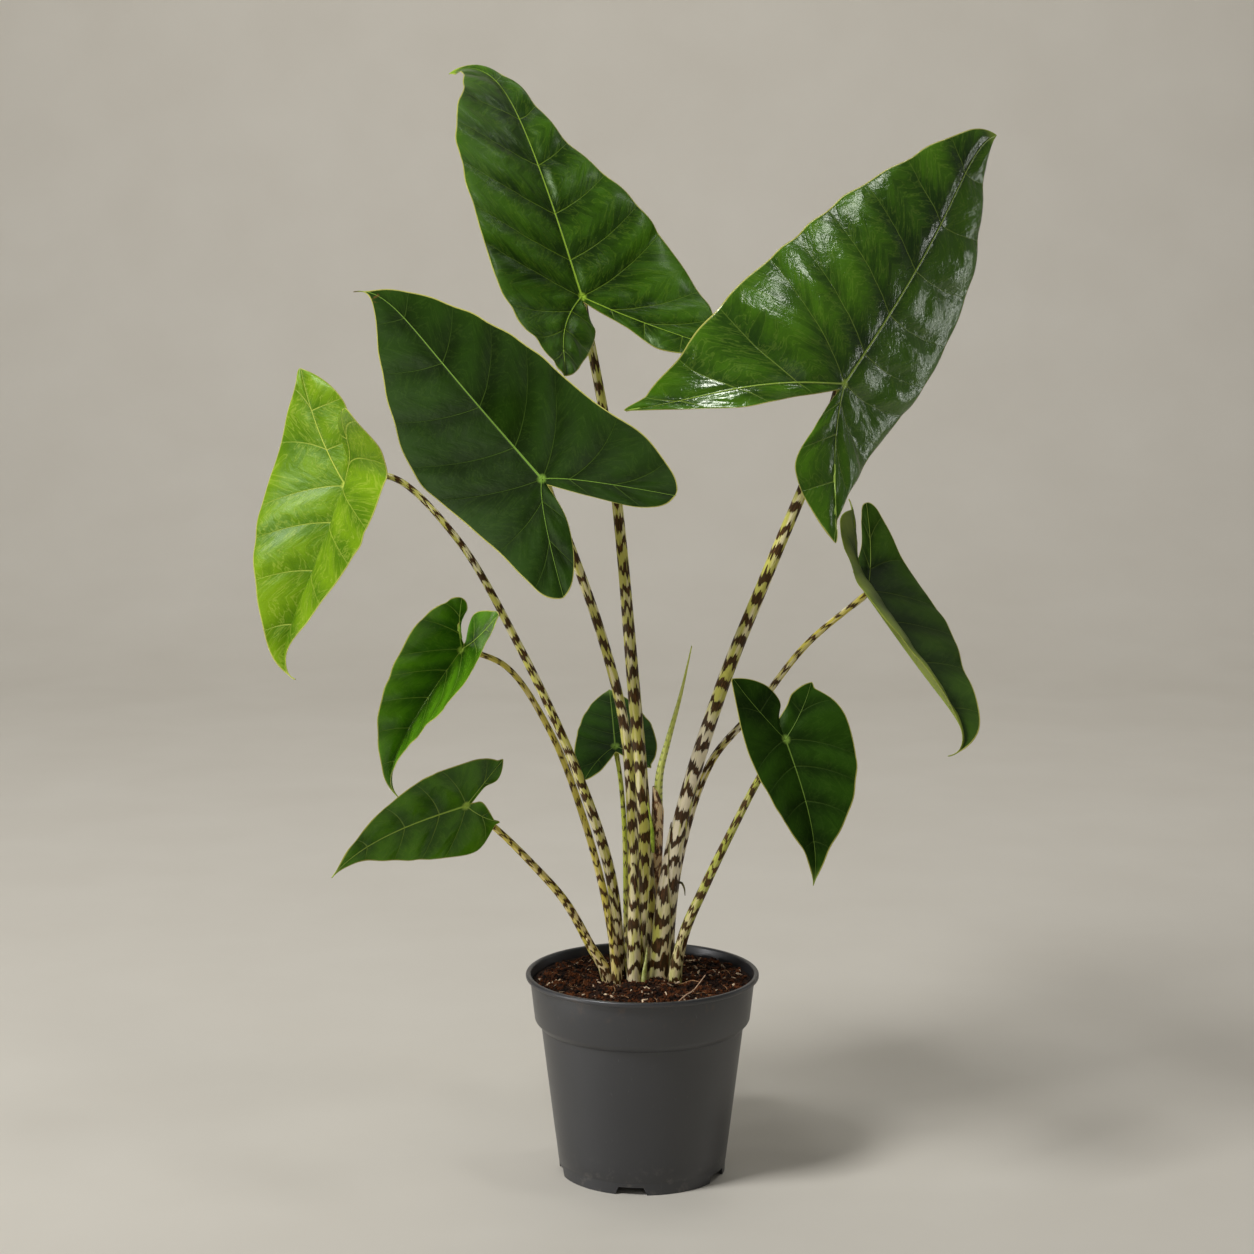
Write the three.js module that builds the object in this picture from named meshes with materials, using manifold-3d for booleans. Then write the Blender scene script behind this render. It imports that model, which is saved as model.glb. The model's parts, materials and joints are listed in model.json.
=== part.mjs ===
// Alocasia zebrina in its nursery pot. Millimetres, +Z up, +X to the right and +Y to the back.
// The origin is the middle of the pot's base. Angles are in degrees.
import * as THREE from 'three';
import { mergeVertices } from 'three/addons/utils/BufferGeometryUtils.js';
import Module from 'manifold-3d';

const wasm = await Module();
wasm.setup();
const { degToRad, lerp, clamp, smoothstep } = THREE.MathUtils;

// ---------------------------------------------------------------------------------------------
// Driving dimensions
// ---------------------------------------------------------------------------------------------

const GAP = 0.3;

const POT = {
  height: 148.4,
  rimRadius: 85,
  lipHeight: 3.8,
  lipWidth: 3.8,
  rimEdge: 1.2,
  wall: 1.5,
  bandTopRadius: 81.4,
  bandTopHeight: 140,
  bandBottomRadius: 78.6,
  bandBottomHeight: 114.5,
  wallTopRadius: 73.9,
  wallTopHeight: 109.3,
  wallLowRadius: 64.9,
  wallLowHeight: 36,
  heelRadius: 62.6,
  heelHeight: 18,
  footTopRadius: 61.6,
  footStep: 0.8,
  footHeight: 9,
  footRadius: 60.8,
  footThickness: 2.2,
  footDraft: 0.6,
  floorUnder: 6.4,
  padRadius: 10,
  padDraft: 2,
  drainHoles: 5,
  drainRadius: 4,
  drainCircle: 36,
  drainSides: 12,
  notches: 5,
  notchTopWidth: 18,
  notchBottomWidth: 24,
  notchHeight: 5.8,
  notchTurn: -98,
  notchInset: 6,
  segments: 40,
};

// Each wave of the soil's surface has its height, its two wave numbers per millimetre and a phase.
const SOIL = {
  edgeTop: 141.5,
  crownTop: 145,
  crownRadius: 30,
  slopeRadius: 70,
  rings: [14, 28, 42, 56, 68],
  waves: [[1.1, 0.26, 0.1, 0], [0.8, -0.18, 0.31, 2.1], [0.5, 0.52, -0.44, 4]],
  rootDepth: 26,
};

const BLADE = {
  halfThickness: 0.45,
  stations: [0.93, 0.76, 0.52, 0.26, 0],
  lobeStations: [0.5, 0.85],
  sinusStations: [0.8, 0.4],
  midribShare: 0.45,
  across: [0, 0.07, 0.35, 0.7, 1],
  lobeRibBow: [0.4, 0.58],
  ribTaper: 0.8,
  ribTaperPower: 0.7,
  cupSpan: 0.35,
  curveSteps: 60,
  bendPower: 2,
  hookPower: 10,
};

// One entry a leaf. The joint is where the petiole meets the blade; yaw and pitch aim the blade's
// tip, and roll, fold, curl, droop, sway, hook, twist, cup and lobeDrop bend the sheet. A side has
// its half widths at the blade's stations, its lobe tip (back, out), its two sinus widths and, where
// it differs from the usual one, the bow of its lobe rib.
const LEAVES = {
  top: {
    joint: [-44, 45, 636], yaw: 108, pitch: -27, roll: 18, droop: 40, sway: -1, hook: -97, twist: -4,
    length: 267, sinus: 4, veins: 9, wave: 2.6, waves: 5, quilt: 1.6, rib: 2.6, leafColour: 0x2c5a20,
    right: { widths: [3, 12, 25, 60, 82, 88, 86], lobe: [73, 86], inner: [45, 24], fold: 5, curl: 11,
      cup: 0.06, drop: -0.03, bow: [0.38, 0.38] },
    left: { widths: [14, 34, 64, 73, 72, 70, 66], lobe: [79, 56], inner: [31, 0], fold: 31, curl: 16,
      cup: 0.1, drop: -0.04, bow: [0.3, 0.55] },
    stalk: [[3, 1, 150], [1, 8, 255], [-7, 16, 363], [-21, 31, 510], [-36, 44, 595]],
    radii: [6.5, 3.3],
  },
  glossy: {
    joint: [138, -55, 578], yaw: 53, pitch: -36, roll: 24, droop: 2, sway: -17, hook: 47, twist: -2,
    length: 267, sinus: 6, veins: 9, wave: 2.2, waves: 5, quilt: 2, rib: 2.6, leafColour: 0x35691f,
    right: { widths: [10, 35, 61, 67, 60, 52, 52], lobe: [98, 59], inner: [8, 0], fold: -10, curl: 25,
      cup: 0.06, drop: 0.16, bow: [0.15, 0.1] },
    left: { widths: [13, 38, 63, 77, 86, 90, 100], lobe: [75, 106], inner: [50, 21], fold: 8, curl: -31,
      cup: 0.64, drop: 0.1, bow: [0.8, 0.53] },
    stalk: [[16, -4, 150], [24, -10, 245], [54, -20, 355], [90, -30, 450], [118, -36, 520]],
    radii: [7, 3.8],
  },
  dark: {
    joint: [-69, -75, 514], yaw: 134, pitch: -34, roll: 0, droop: 4, sway: 4, hook: -55, twist: -1,
    length: 235, sinus: 6, veins: 8, wave: 1.6, waves: 4, quilt: 1.2, rib: 2.4, leafColour: 0x1c3d17,
    right: { widths: [2, 22, 46, 63, 70, 79, 73], lobe: [91, 70], inner: [37, 19], fold: 17, curl: -7,
      cup: -0.26, drop: 0.06, bow: [0.18, 0.28] },
    left: { widths: [3, 25, 49, 66, 59, 55, 53], lobe: [86, 48], inner: [21, 6], fold: 17, curl: 7,
      cup: 0.04, drop: 0.01, bow: [0.12, 0.28] },
    stalk: [[-7, -12, 150], [-7, -22, 250], [-13, -32, 335], [-29, -44, 402], [-52, -56, 470]],
    radii: [4.5, 3.2],
  },
  lime: {
    joint: [-210, -10, 504], yaw: -110, pitch: 17, roll: 29, droop: 10, sway: 12, hook: -105, twist: -12,
    length: 149, sinus: 6, veins: 7, wave: 1.4, waves: 4, quilt: 1.5, rib: 2, leafColour: 0x76a02c,
    right: { widths: [2, 20, 42, 55, 59, 62, 63], lobe: [73, 63], inner: [25, 8], fold: 13, curl: 5,
      cup: 0.11, drop: -0.05 },
    left: { widths: [4, 27, 48, 63, 66, 79, 82], lobe: [33, 75], inner: [36, 24], fold: 70, curl: 33,
      cup: 0.47, drop: -0.09 },
    stalk: [[-17, -4, 150], [-23, -3, 220], [-48, 0, 298], [-88, 4, 386], [-134, 8, 466], [-180, 8, 509]],
    radii: [4.7, 2.2],
  },
  small_left: {
    joint: [-125, -70, 396], yaw: -125, pitch: -20, roll: 0, droop: 8, sway: -18, hook: -59, twist: 16,
    length: 141, sinus: 3, veins: 7, wave: 1.2, waves: 3, quilt: 1.3, rib: 1.8, leafColour: 0x2f6120,
    right: { widths: [2, 11, 26, 36, 42, 40, 33], lobe: [40, 25], inner: [16, 14], fold: 33, curl: 1,
      cup: 0.03, drop: 0.02 },
    left: { widths: [2, 11, 24, 40, 43, 42, 32], lobe: [48, 20], inner: [3, -14], fold: 62, curl: 6,
      cup: -0.2, drop: 0.04 },
    stalk: [[-19, -16, 150], [-26, -21, 203], [-42, -30, 268], [-65, -43, 333], [-95, -54, 381]],
    radii: [3.3, 2],
  },
  low_left: {
    joint: [-124, -60, 284], yaw: -168, pitch: 31, roll: -18, droop: -8, sway: -25, hook: -17, twist: -3,
    length: 113, sinus: 4, veins: 6, wave: 1.2, waves: 3, quilt: 1.3, rib: 1.8, leafColour: 0x2a581d,
    right: { widths: [2, 13, 27, 36, 36, 33, 27], lobe: [32, 26], inner: [12, 10], fold: 13, curl: -9,
      cup: 0.07, drop: 0.03 },
    left: { widths: [2, 9, 24, 34, 40, 38, 25], lobe: [28, 24], inner: [20, 2], fold: -2, curl: -6,
      cup: 0.04, drop: 0.01 },
    stalk: [[-27, -14, 150], [-38, -15, 172], [-56, -17, 205], [-80, -21, 234], [-104, -28, 260]],
    radii: [4.2, 2.1],
  },
  back: {
    joint: [-20, 75, 301], yaw: 97, pitch: -57, roll: 0, droop: 17, sway: -2, hook: 0, twist: 2,
    length: 73, sinus: 6, veins: 5, wave: 0.8, waves: 3, quilt: 0.9, rib: 1.4, leafColour: 0x234a1b,
    right: { widths: [3, 11, 20, 28, 30, 29, 25], lobe: [28, 24], inner: [15, 8], fold: 15, curl: -3,
      cup: 0.21, drop: -0.03 },
    left: { widths: [3, 12, 21, 27, 30, 29, 26], lobe: [31, 25], inner: [14, 6], fold: 14, curl: -6,
      cup: 0.19, drop: 0.01 },
    stalk: [[-12, 12, 150], [-12, 25, 195], [-13, 44, 243], [-16, 62, 278]],
    radii: [2.4, 1.7],
  },
  heart: {
    joint: [97, -95, 337], yaw: -70, pitch: 24, roll: -23, droop: 17, sway: 19, hook: 9, twist: 1,
    length: 103, sinus: 15, veins: 6, wave: 1.2, waves: 3, quilt: 1.1, rib: 1.8, leafColour: 0x24491c,
    right: { widths: [3, 13, 29, 38, 41, 37, 33], lobe: [47, 29], inner: [4, -7], fold: 29, curl: -6,
      cup: 0.02, drop: -0.16 },
    left: { widths: [2, 11, 30, 42, 45, 42, 32], lobe: [34, 31], inner: [16, 9], fold: 20, curl: -5,
      cup: 0.13, drop: -0.02 },
    stalk: [[24, -17, 150], [30, -24, 183], [45, -36, 222], [64, -52, 267], [82, -68, 307]],
    radii: [4.8, 2.3],
  },
  hanging: {
    joint: [166, 60, 420], yaw: -56, pitch: 52, roll: -23, droop: -5, sway: -6, hook: 109, twist: 7,
    length: 196, sinus: 24, veins: 7, wave: 1.6, waves: 4, quilt: 1.4, rib: 2, leafColour: 0x26491f,
    right: { widths: [2, 19, 45, 54, 44, 54, 49], lobe: [40, 52], inner: [27, 19], fold: 90, curl: 28,
      cup: 0.56, drop: -0.12 },
    left: { widths: [2, 18, 30, 44, 45, 42, 41], lobe: [79, 35], inner: [26, 16], fold: -10, curl: 19,
      cup: 0.15, drop: -0.33 },
    stalk: [[19, 10, 150], [27, 18, 227], [50, 30, 297], [84, 46, 335], [122, 64, 380]],
    radii: [3.8, 2.3],
  },
};

const PETIOLE = {
  sides: 8,
  stepLength: 26,
  taperPower: 1.4,
};

const NEW_LEAF = {
  sheath: [[8, 12, 150], [9.5, 13.5, 210], [11.8, 12.5, 283]],
  sheathRadii: [4.7, 4.1],
  roll: [[11.4, 12.8, 268], [12.6, 12, 292], [19.4, 11, 320], [27.4, 10, 350], [35.5, 9, 387]],
  rollRadii: [2.9, 0.5],
  rollSteps: 8,
  rollTaperPower: 1.3,
};

const FINISH = {
  petiole: [0xb9b478, 0.5],
  sheath: [0xa98a5a, 0.6],
  roll: [0x9dbb4e, 0.5],
  pot: [0x35373a, 0.7],
  soil: [0x2e211a, 0.95],
  bladeRoughness: 0.4,
};

// ---------------------------------------------------------------------------------------------
// Curves and closed solids
// ---------------------------------------------------------------------------------------------

// A Catmull-Rom curve through 2-D points, its ends carried on straight.
function splinePoint(points, t) {
  const last = points.length - 1;
  const mirrored = (end, next) => [2 * end[0] - next[0], 2 * end[1] - next[1]];
  const list = [mirrored(points[0], points[1]), ...points, mirrored(points[last], points[last - 1])];
  const span = Math.min(Math.floor(t * last), last - 1);
  const f = t * last - span;
  return [0, 1].map((axis) => {
    const [a, b, c, d] = list.slice(span, span + 4).map((point) => point[axis]);
    return 0.5 * (2 * b + (c - a) * f + (2 * a - 5 * b + 4 * c - d) * f * f
      + (3 * b - a - 3 * c + d) * f * f * f);
  });
}

function signedVolume(vertices, triangles) {
  let volume = 0;
  for (const [a, b, c] of triangles) {
    volume += vertices[a].dot(new THREE.Vector3().crossVectors(vertices[b], vertices[c])) / 6;
  }
  return volume;
}

// A geometry from shared vertices, turned so that its faces look outward.
function closedGeometry(vertices, triangles) {
  const outward = signedVolume(vertices, triangles) > 0;
  const index = triangles.flatMap(([a, b, c]) => (outward ? [a, b, c] : [a, c, b]));
  const geometry = new THREE.BufferGeometry();
  geometry.setAttribute('position', new THREE.Float32BufferAttribute(
    vertices.flatMap((v) => [v.x, v.y, v.z]), 3));
  geometry.setIndex(index);
  geometry.computeVertexNormals();
  return geometry;
}

function toSolid(geometry) {
  const bare = geometry.clone();
  bare.deleteAttribute('normal');
  bare.deleteAttribute('uv');
  const merged = mergeVertices(bare, 1e-4);
  return new wasm.Manifold(new wasm.Mesh({
    numProp: 3,
    vertProperties: new Float32Array(merged.attributes.position.array),
    triVerts: new Uint32Array(merged.index.array),
  }));
}

function fromSolid(solid) {
  const mesh = solid.getMesh();
  const geometry = new THREE.BufferGeometry();
  geometry.setAttribute('position', new THREE.Float32BufferAttribute(mesh.vertProperties, 3));
  geometry.setIndex([...mesh.triVerts]);
  geometry.computeVertexNormals();
  return geometry;
}

// A round stalk along a curve, its radius changing along it; the last ring may lie in a plane.
function stalkGeometry(curve, steps, radiusAt, endPlane) {
  const frames = curve.computeFrenetFrames(steps, false);
  const vertices = [];
  const triangles = [];
  const { sides } = PETIOLE;
  for (let i = 0; i <= steps; i += 1) {
    const centre = curve.getPointAt(i / steps);
    for (let j = 0; j < sides; j += 1) {
      const angle = (2 * Math.PI * j) / sides;
      const point = centre.clone()
        .addScaledVector(frames.normals[i], radiusAt(i / steps) * Math.cos(angle))
        .addScaledVector(frames.binormals[i], radiusAt(i / steps) * Math.sin(angle));
      if (endPlane && i === steps) {
        const along = frames.tangents[i].dot(endPlane.normal);
        point.addScaledVector(frames.tangents[i], -endPlane.distanceToPoint(point) / along);
      }
      vertices.push(point);
    }
  }
  for (let i = 0; i < steps; i += 1) {
    for (let j = 0; j < sides; j += 1) {
      const here = i * sides + j;
      const beside = i * sides + ((j + 1) % sides);
      triangles.push([here, beside, beside + sides], [here, beside + sides, here + sides]);
    }
  }
  for (let j = 1; j < sides - 1; j += 1) {
    const end = steps * sides;
    triangles.push([0, j + 1, j], [end, end + j, end + j + 1]);
  }
  return closedGeometry(vertices, triangles);
}

// ---------------------------------------------------------------------------------------------
// Blades
// ---------------------------------------------------------------------------------------------

// The blade's own directions at the joint: along the midrib, out of the upper face, to its right.
function bladeFrame(leaf) {
  const [yaw, pitch, roll] = [leaf.yaw, leaf.pitch, leaf.roll].map(degToRad);
  const along = new THREE.Vector3(
    Math.cos(yaw) * Math.cos(pitch), -Math.sin(pitch), Math.sin(yaw) * Math.cos(pitch));
  const front = new THREE.Vector3(0, -1, 0);
  front.addScaledVector(along, -front.dot(along)).normalize();
  const up = front.clone().multiplyScalar(Math.cos(roll))
    .addScaledVector(new THREE.Vector3().crossVectors(along, front), Math.sin(roll));
  return { along, up, right: new THREE.Vector3().crossVectors(along, up) };
}

// The directions along the midrib at x, from 0 at the joint to 1 at the tip.
function midribFrame(leaf, base, x) {
  const droop = degToRad(leaf.droop) * x ** BLADE.bendPower;
  const sway = degToRad(leaf.sway) * x ** BLADE.bendPower + degToRad(leaf.hook) * x ** BLADE.hookPower;
  const twist = degToRad(leaf.twist) * x;
  const heading = base.along.clone().multiplyScalar(Math.cos(sway))
    .addScaledVector(base.right, Math.sin(sway));
  const tangent = heading.clone().multiplyScalar(Math.cos(droop))
    .addScaledVector(base.up, -Math.sin(droop));
  const flatUp = base.up.clone().multiplyScalar(Math.cos(droop))
    .addScaledVector(heading, Math.sin(droop));
  const flatRight = new THREE.Vector3().crossVectors(tangent, flatUp);
  const up = flatUp.clone().multiplyScalar(Math.cos(twist)).addScaledVector(flatRight, Math.sin(twist));
  const right = flatRight.clone().multiplyScalar(Math.cos(twist))
    .addScaledVector(flatUp, -Math.sin(twist));
  return { tangent, up, right };
}

// Points along the midrib from the joint to the tip.
function midribCurve(leaf, base) {
  const points = [new THREE.Vector3(...leaf.joint)];
  const step = leaf.length / BLADE.curveSteps;
  for (let i = 1; i <= BLADE.curveSteps; i += 1) {
    const before = midribFrame(leaf, base, (i - 1) / BLADE.curveSteps).tangent;
    const after = midribFrame(leaf, base, i / BLADE.curveSteps).tangent;
    points.push(points[i - 1].clone().addScaledVector(before.add(after), step / 2));
  }
  return points;
}

// Where the flat point (u along the midrib, v out to one side) lies on the bent sheet.
function makeSheet(leaf) {
  const base = bladeFrame(leaf);
  const curve = midribCurve(leaf, base);
  return (sideName, u, v, lift) => {
    const side = leaf[sideName];
    const outward = sideName === 'right' ? 1 : -1;
    const x = clamp(u / leaf.length, 0, 1);
    const frame = midribFrame(leaf, base, x);
    const knot = Math.min(Math.floor(x * BLADE.curveSteps), BLADE.curveSteps - 1);
    const back = Math.min(u, 0);
    const point = curve[knot].clone().lerp(curve[knot + 1], x * BLADE.curveSteps - knot)
      .addScaledVector(base.along, back);
    const fold = degToRad(side.fold + side.curl * smoothstep(-u, 0, side.lobe[0]));
    const across = frame.right.clone().multiplyScalar(outward * Math.cos(fold))
      .addScaledVector(frame.up, Math.sin(fold));
    const normal = frame.up.clone().multiplyScalar(Math.cos(fold))
      .addScaledVector(frame.right, -outward * Math.sin(fold));
    const cupDepth = (side.cup * v * v) / (BLADE.cupSpan * leaf.length);
    return point.addScaledVector(across, v)
      .addScaledVector(normal, lift - cupDepth)
      .addScaledVector(frame.up, (-side.drop * back * back) / leaf.length);
  };
}

// The margin of one half: tip, outer edge, lobe tip, inner edge, sinus.
function marginPoints(leaf, side) {
  const [lobeBack, lobeOut] = side.lobe;
  const outer = BLADE.stations.map((k, i) => [leaf.length * k, side.widths[i]]);
  const lobe = BLADE.lobeStations.map((k, i) => [-lobeBack * k, side.widths[outer.length + i]]);
  const inner = BLADE.sinusStations.map((k, i) => [-lerp(leaf.sinus, lobeBack, k), side.inner[i]]);
  const points = [[leaf.length, 0], ...outer, ...lobe, [-lobeBack, lobeOut], ...inner, [-leaf.sinus, 0]];
  return { points, lobeAt: (outer.length + lobe.length + 1) / (points.length - 1) };
}

// The rib from the joint to the lobe tip, slightly bowed.
function lobeRib(side, f) {
  const [lobeBack, lobeOut] = side.lobe;
  const [bowBack, bowOut] = side.bow ?? BLADE.lobeRibBow;
  const bowU = -bowBack * lobeBack;
  const bowV = bowOut * lobeOut;
  return [2 * f * (1 - f) * bowU - f * f * lobeBack, 2 * f * (1 - f) * bowV + f * f * lobeOut];
}

// The share of a half's veins that leave the midrib; the others leave the lobe rib.
function fanStart(leaf) {
  return Math.round(BLADE.midribShare * leaf.veins) / leaf.veins;
}

// Where a vein starts; a runs from 0 at the tip to 1 at the lobe tip.
function spinePoint(leaf, side, a) {
  const start = fanStart(leaf);
  if (a <= start) {
    return [leaf.length * (1 - a / start), 0];
  }
  return lobeRib(side, (a - start) / (1 - start));
}

// How far the sheet rises from its plain form: quilting between veins and a waved edge.
function relief(leaf, a, w, veins, waves) {
  const quilt = leaf.quilt * Math.sin(Math.PI * w) * Math.sin(Math.PI * veins * a) ** 2;
  return quilt + leaf.wave * w * w * Math.sin(2 * Math.PI * waves * a);
}

// The rows of one half: each row crosses from a rib to the margin. Every row's first point has the
// depth of the rib that stands out under the blade there.
function halfRows(leaf, sideName) {
  const side = leaf[sideName];
  const margin = marginPoints(leaf, side);
  const outerRows = [];
  const innerRows = [];
  const row = (from, to, a, veins, waves, ribDepth) => BLADE.across.map((w, i) => ({
    u: lerp(from[0], to[0], w),
    v: lerp(from[1], to[1], w),
    lift: relief(leaf, a, w, veins, waves),
    rib: i === 0 ? ribDepth : 0,
  }));
  const outerCount = 2 * leaf.veins;
  const start = fanStart(leaf);
  for (let i = 0; i <= outerCount; i += 1) {
    const a = i / outerCount;
    const to = splinePoint(margin.points, a * margin.lobeAt);
    const depth = leaf.rib * (1 - BLADE.ribTaper * Math.abs(a / start - 1) ** BLADE.ribTaperPower);
    outerRows.push(row(spinePoint(leaf, side, a), to, a, leaf.veins, leaf.waves, Math.max(depth, 0)));
  }
  const innerCount = Math.round(outerCount * (1 - start));
  for (let i = 0; i <= innerCount; i += 1) {
    const b = i / innerCount;
    const to = splinePoint(margin.points, lerp(1, margin.lobeAt, b));
    innerRows.push(row(lobeRib(side, b), to, b, innerCount / 2, 1, leaf.rib * (1 - b)));
  }
  return [outerRows, innerRows];
}

// The middle sheet of a blade, its vertices shared where halves and sectors meet.
function bladeSheet(leaf) {
  const sheet = makeSheet(leaf);
  const vertices = [];
  const ribs = [];
  const triangles = [];
  const known = new Map();
  const indexOf = (point, rib) => {
    const key = point.toArray().map((value) => Math.round(value * 500)).join();
    if (!known.has(key)) {
      known.set(key, vertices.length);
      vertices.push(point);
      ribs.push(0);
    }
    const index = known.get(key);
    ribs[index] = Math.max(ribs[index], rib);
    return index;
  };
  const addTriangle = (a, b, c, flip) => {
    if (a !== b && b !== c && a !== c) {
      triangles.push(flip ? [a, c, b] : [a, b, c]);
    }
  };
  for (const sideName of ['right', 'left']) {
    halfRows(leaf, sideName).forEach((rows, sector) => {
      const flip = (sideName === 'right') !== (sector === 1);
      const indices = rows.map((row) => row.map(
        (cell) => indexOf(sheet(sideName, cell.u, cell.v, cell.lift), cell.rib)));
      for (let i = 0; i + 1 < rows.length; i += 1) {
        for (let j = 0; j + 1 < BLADE.across.length; j += 1) {
          const [a, b] = [indices[i][j], indices[i][j + 1]];
          const [d, c] = [indices[i + 1][j], indices[i + 1][j + 1]];
          addTriangle(a, b, c, flip);
          addTriangle(a, c, d, flip);
        }
      }
    });
  }
  return { vertices, ribs, triangles };
}

function vertexNormals(vertices, triangles) {
  const normals = vertices.map(() => new THREE.Vector3());
  for (const [a, b, c] of triangles) {
    const edge = vertices[b].clone().sub(vertices[a]);
    const face = edge.cross(vertices[c].clone().sub(vertices[a]));
    [a, b, c].forEach((index) => normals[index].add(face));
  }
  return normals.map((normal) => normal.normalize());
}

// Edges that only one triangle uses, in that triangle's direction.
function openEdges(triangles) {
  const edges = new Map();
  for (const triangle of triangles) {
    for (let i = 0; i < 3; i += 1) {
      const [from, to] = [triangle[i], triangle[(i + 1) % 3]];
      if (edges.has(`${to},${from}`)) {
        edges.delete(`${to},${from}`);
      } else {
        edges.set(`${from},${to}`, [from, to]);
      }
    }
  }
  return [...edges.values()];
}

// The sheet given its thickness, with the ribs standing out under it. They are deepest at the
// joint, where they face the petiole.
function bladeGeometry(leaf) {
  const { vertices, ribs, triangles } = bladeSheet(leaf);
  const normals = vertexNormals(vertices, triangles);
  normals[ribs.indexOf(Math.max(...ribs))] = bladeFrame(leaf).up;
  const upper = vertices.map((v, i) => v.clone().addScaledVector(normals[i], BLADE.halfThickness));
  const lower = vertices.map((v, i) => v.clone()
    .addScaledVector(normals[i], -BLADE.halfThickness - ribs[i]));
  const count = vertices.length;
  const faces = [...triangles];
  triangles.forEach(([a, b, c]) => faces.push([a + count, c + count, b + count]));
  openEdges(triangles).forEach(([a, b]) => {
    faces.push([b, a, a + count], [b, a + count, b + count]);
  });
  return closedGeometry([...upper, ...lower], faces);
}

// ---------------------------------------------------------------------------------------------
// Petioles and the new leaf
// ---------------------------------------------------------------------------------------------

function rootedCurve(points) {
  const [first] = points;
  const root = [first[0], first[1], SOIL.edgeTop - SOIL.rootDepth];
  return new THREE.CatmullRomCurve3([root, ...points].map((p) => new THREE.Vector3(...p)));
}

function taper(radii) {
  return (t) => lerp(radii[0], radii[1], 1 - (1 - t) ** PETIOLE.taperPower);
}

// A petiole from the soil to the underside of its blade, which its last ring faces. A half that
// bends down towards the petiole sets the seat deeper.
function petiole(leaf) {
  const { up } = bladeFrame(leaf);
  const bendDown = Math.sin(degToRad(Math.max(0, -leaf.right.fold, -leaf.left.fold)));
  const seatDepth = BLADE.halfThickness + leaf.rib + GAP + leaf.radii[1] * bendDown;
  const seat = new THREE.Vector3(...leaf.joint).addScaledVector(up, -seatDepth);
  const curve = rootedCurve([...leaf.stalk, seat.toArray()]);
  const steps = Math.round(curve.getLength() / PETIOLE.stepLength);
  const plane = new THREE.Plane().setFromNormalAndCoplanarPoint(up, seat);
  const build = (extra) => {
    const radius = taper(leaf.radii);
    return stalkGeometry(curve, steps, (t) => radius(t) + extra, plane);
  };
  return { body: build(0), hole: build(GAP) };
}

// The young leaf is still rolled; it stands in the mouth of its sheath.
function newLeaf() {
  const sheathCurve = rootedCurve(NEW_LEAF.sheath);
  const sheathSteps = Math.round(sheathCurve.getLength() / PETIOLE.stepLength);
  const sheathRadius = taper(NEW_LEAF.sheathRadii);
  const rollPoints = NEW_LEAF.roll.map((p) => new THREE.Vector3(...p));
  const rollCurve = new THREE.CatmullRomCurve3(rollPoints);
  const [wide, narrow] = NEW_LEAF.rollRadii;
  const rollRadius = (t) => lerp(wide, narrow, t ** NEW_LEAF.rollTaperPower);
  const socketBottom = rollPoints[0].clone().sub(new THREE.Vector3(0, 0, GAP));
  const socketCurve = new THREE.CatmullRomCurve3([socketBottom, ...rollPoints.slice(1)]);
  const sheath = stalkGeometry(sheathCurve, sheathSteps, sheathRadius);
  const socket = stalkGeometry(socketCurve, NEW_LEAF.rollSteps, (t) => rollRadius(t) + GAP);
  return {
    sheath: fromSolid(toSolid(sheath).subtract(toSolid(socket))),
    sheathHole: stalkGeometry(sheathCurve, sheathSteps, (t) => sheathRadius(t) + GAP),
    roll: stalkGeometry(rollCurve, NEW_LEAF.rollSteps, rollRadius),
  };
}

// ---------------------------------------------------------------------------------------------
// Pot and soil
// ---------------------------------------------------------------------------------------------

function latheGeometry(profile, segments) {
  const geometry = new THREE.LatheGeometry(profile.map(([r, z]) => new THREE.Vector2(r, z)), segments);
  return geometry.rotateX(Math.PI / 2);
}

const floorTop = POT.floorUnder + POT.wall;

// The pot's inner face from the middle of the floor up to the mouth. The distance is measured from
// the outer face, so the pot's own wall has the distance POT.wall and the soil lies a little deeper.
function potInside(distance) {
  const floor = floorTop + distance - POT.wall;
  return [
    [0, distance],
    [POT.padRadius - distance, distance],
    [POT.padRadius + POT.padDraft - distance, floor],
    [POT.footTopRadius - POT.wall - distance, floor],
    [POT.footTopRadius - distance, floor + POT.wall],
    [POT.heelRadius - distance, POT.heelHeight],
    [POT.wallLowRadius - distance, POT.wallLowHeight],
    [POT.wallTopRadius - distance, POT.wallTopHeight],
    [POT.bandBottomRadius - distance, POT.bandBottomHeight],
    [POT.bandTopRadius - distance, POT.bandTopHeight],
  ];
}

// The cutter of one drainage notch in the foot ring, at an angle round the pot.
function notchGeometry(angle) {
  const shape = new THREE.Shape([
    new THREE.Vector2(-POT.notchBottomWidth / 2, -GAP),
    new THREE.Vector2(POT.notchBottomWidth / 2, -GAP),
    new THREE.Vector2(POT.notchTopWidth / 2, POT.notchHeight),
    new THREE.Vector2(-POT.notchTopWidth / 2, POT.notchHeight)]);
  return new THREE.ExtrudeGeometry(shape, { depth: 2 * POT.notchInset, bevelEnabled: false })
    .rotateX(Math.PI / 2)
    .translate(0, -POT.footRadius + POT.notchInset, 0)
    .rotateZ(angle + Math.PI / 2);
}

// The cutter of one drain hole in the floor.
function drainGeometry(angle) {
  return new THREE.CylinderGeometry(POT.drainRadius, POT.drainRadius, 4 * POT.wall, POT.drainSides)
    .rotateX(Math.PI / 2)
    .translate(POT.drainCircle * Math.cos(angle), POT.drainCircle * Math.sin(angle), POT.floorUnder);
}

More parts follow.
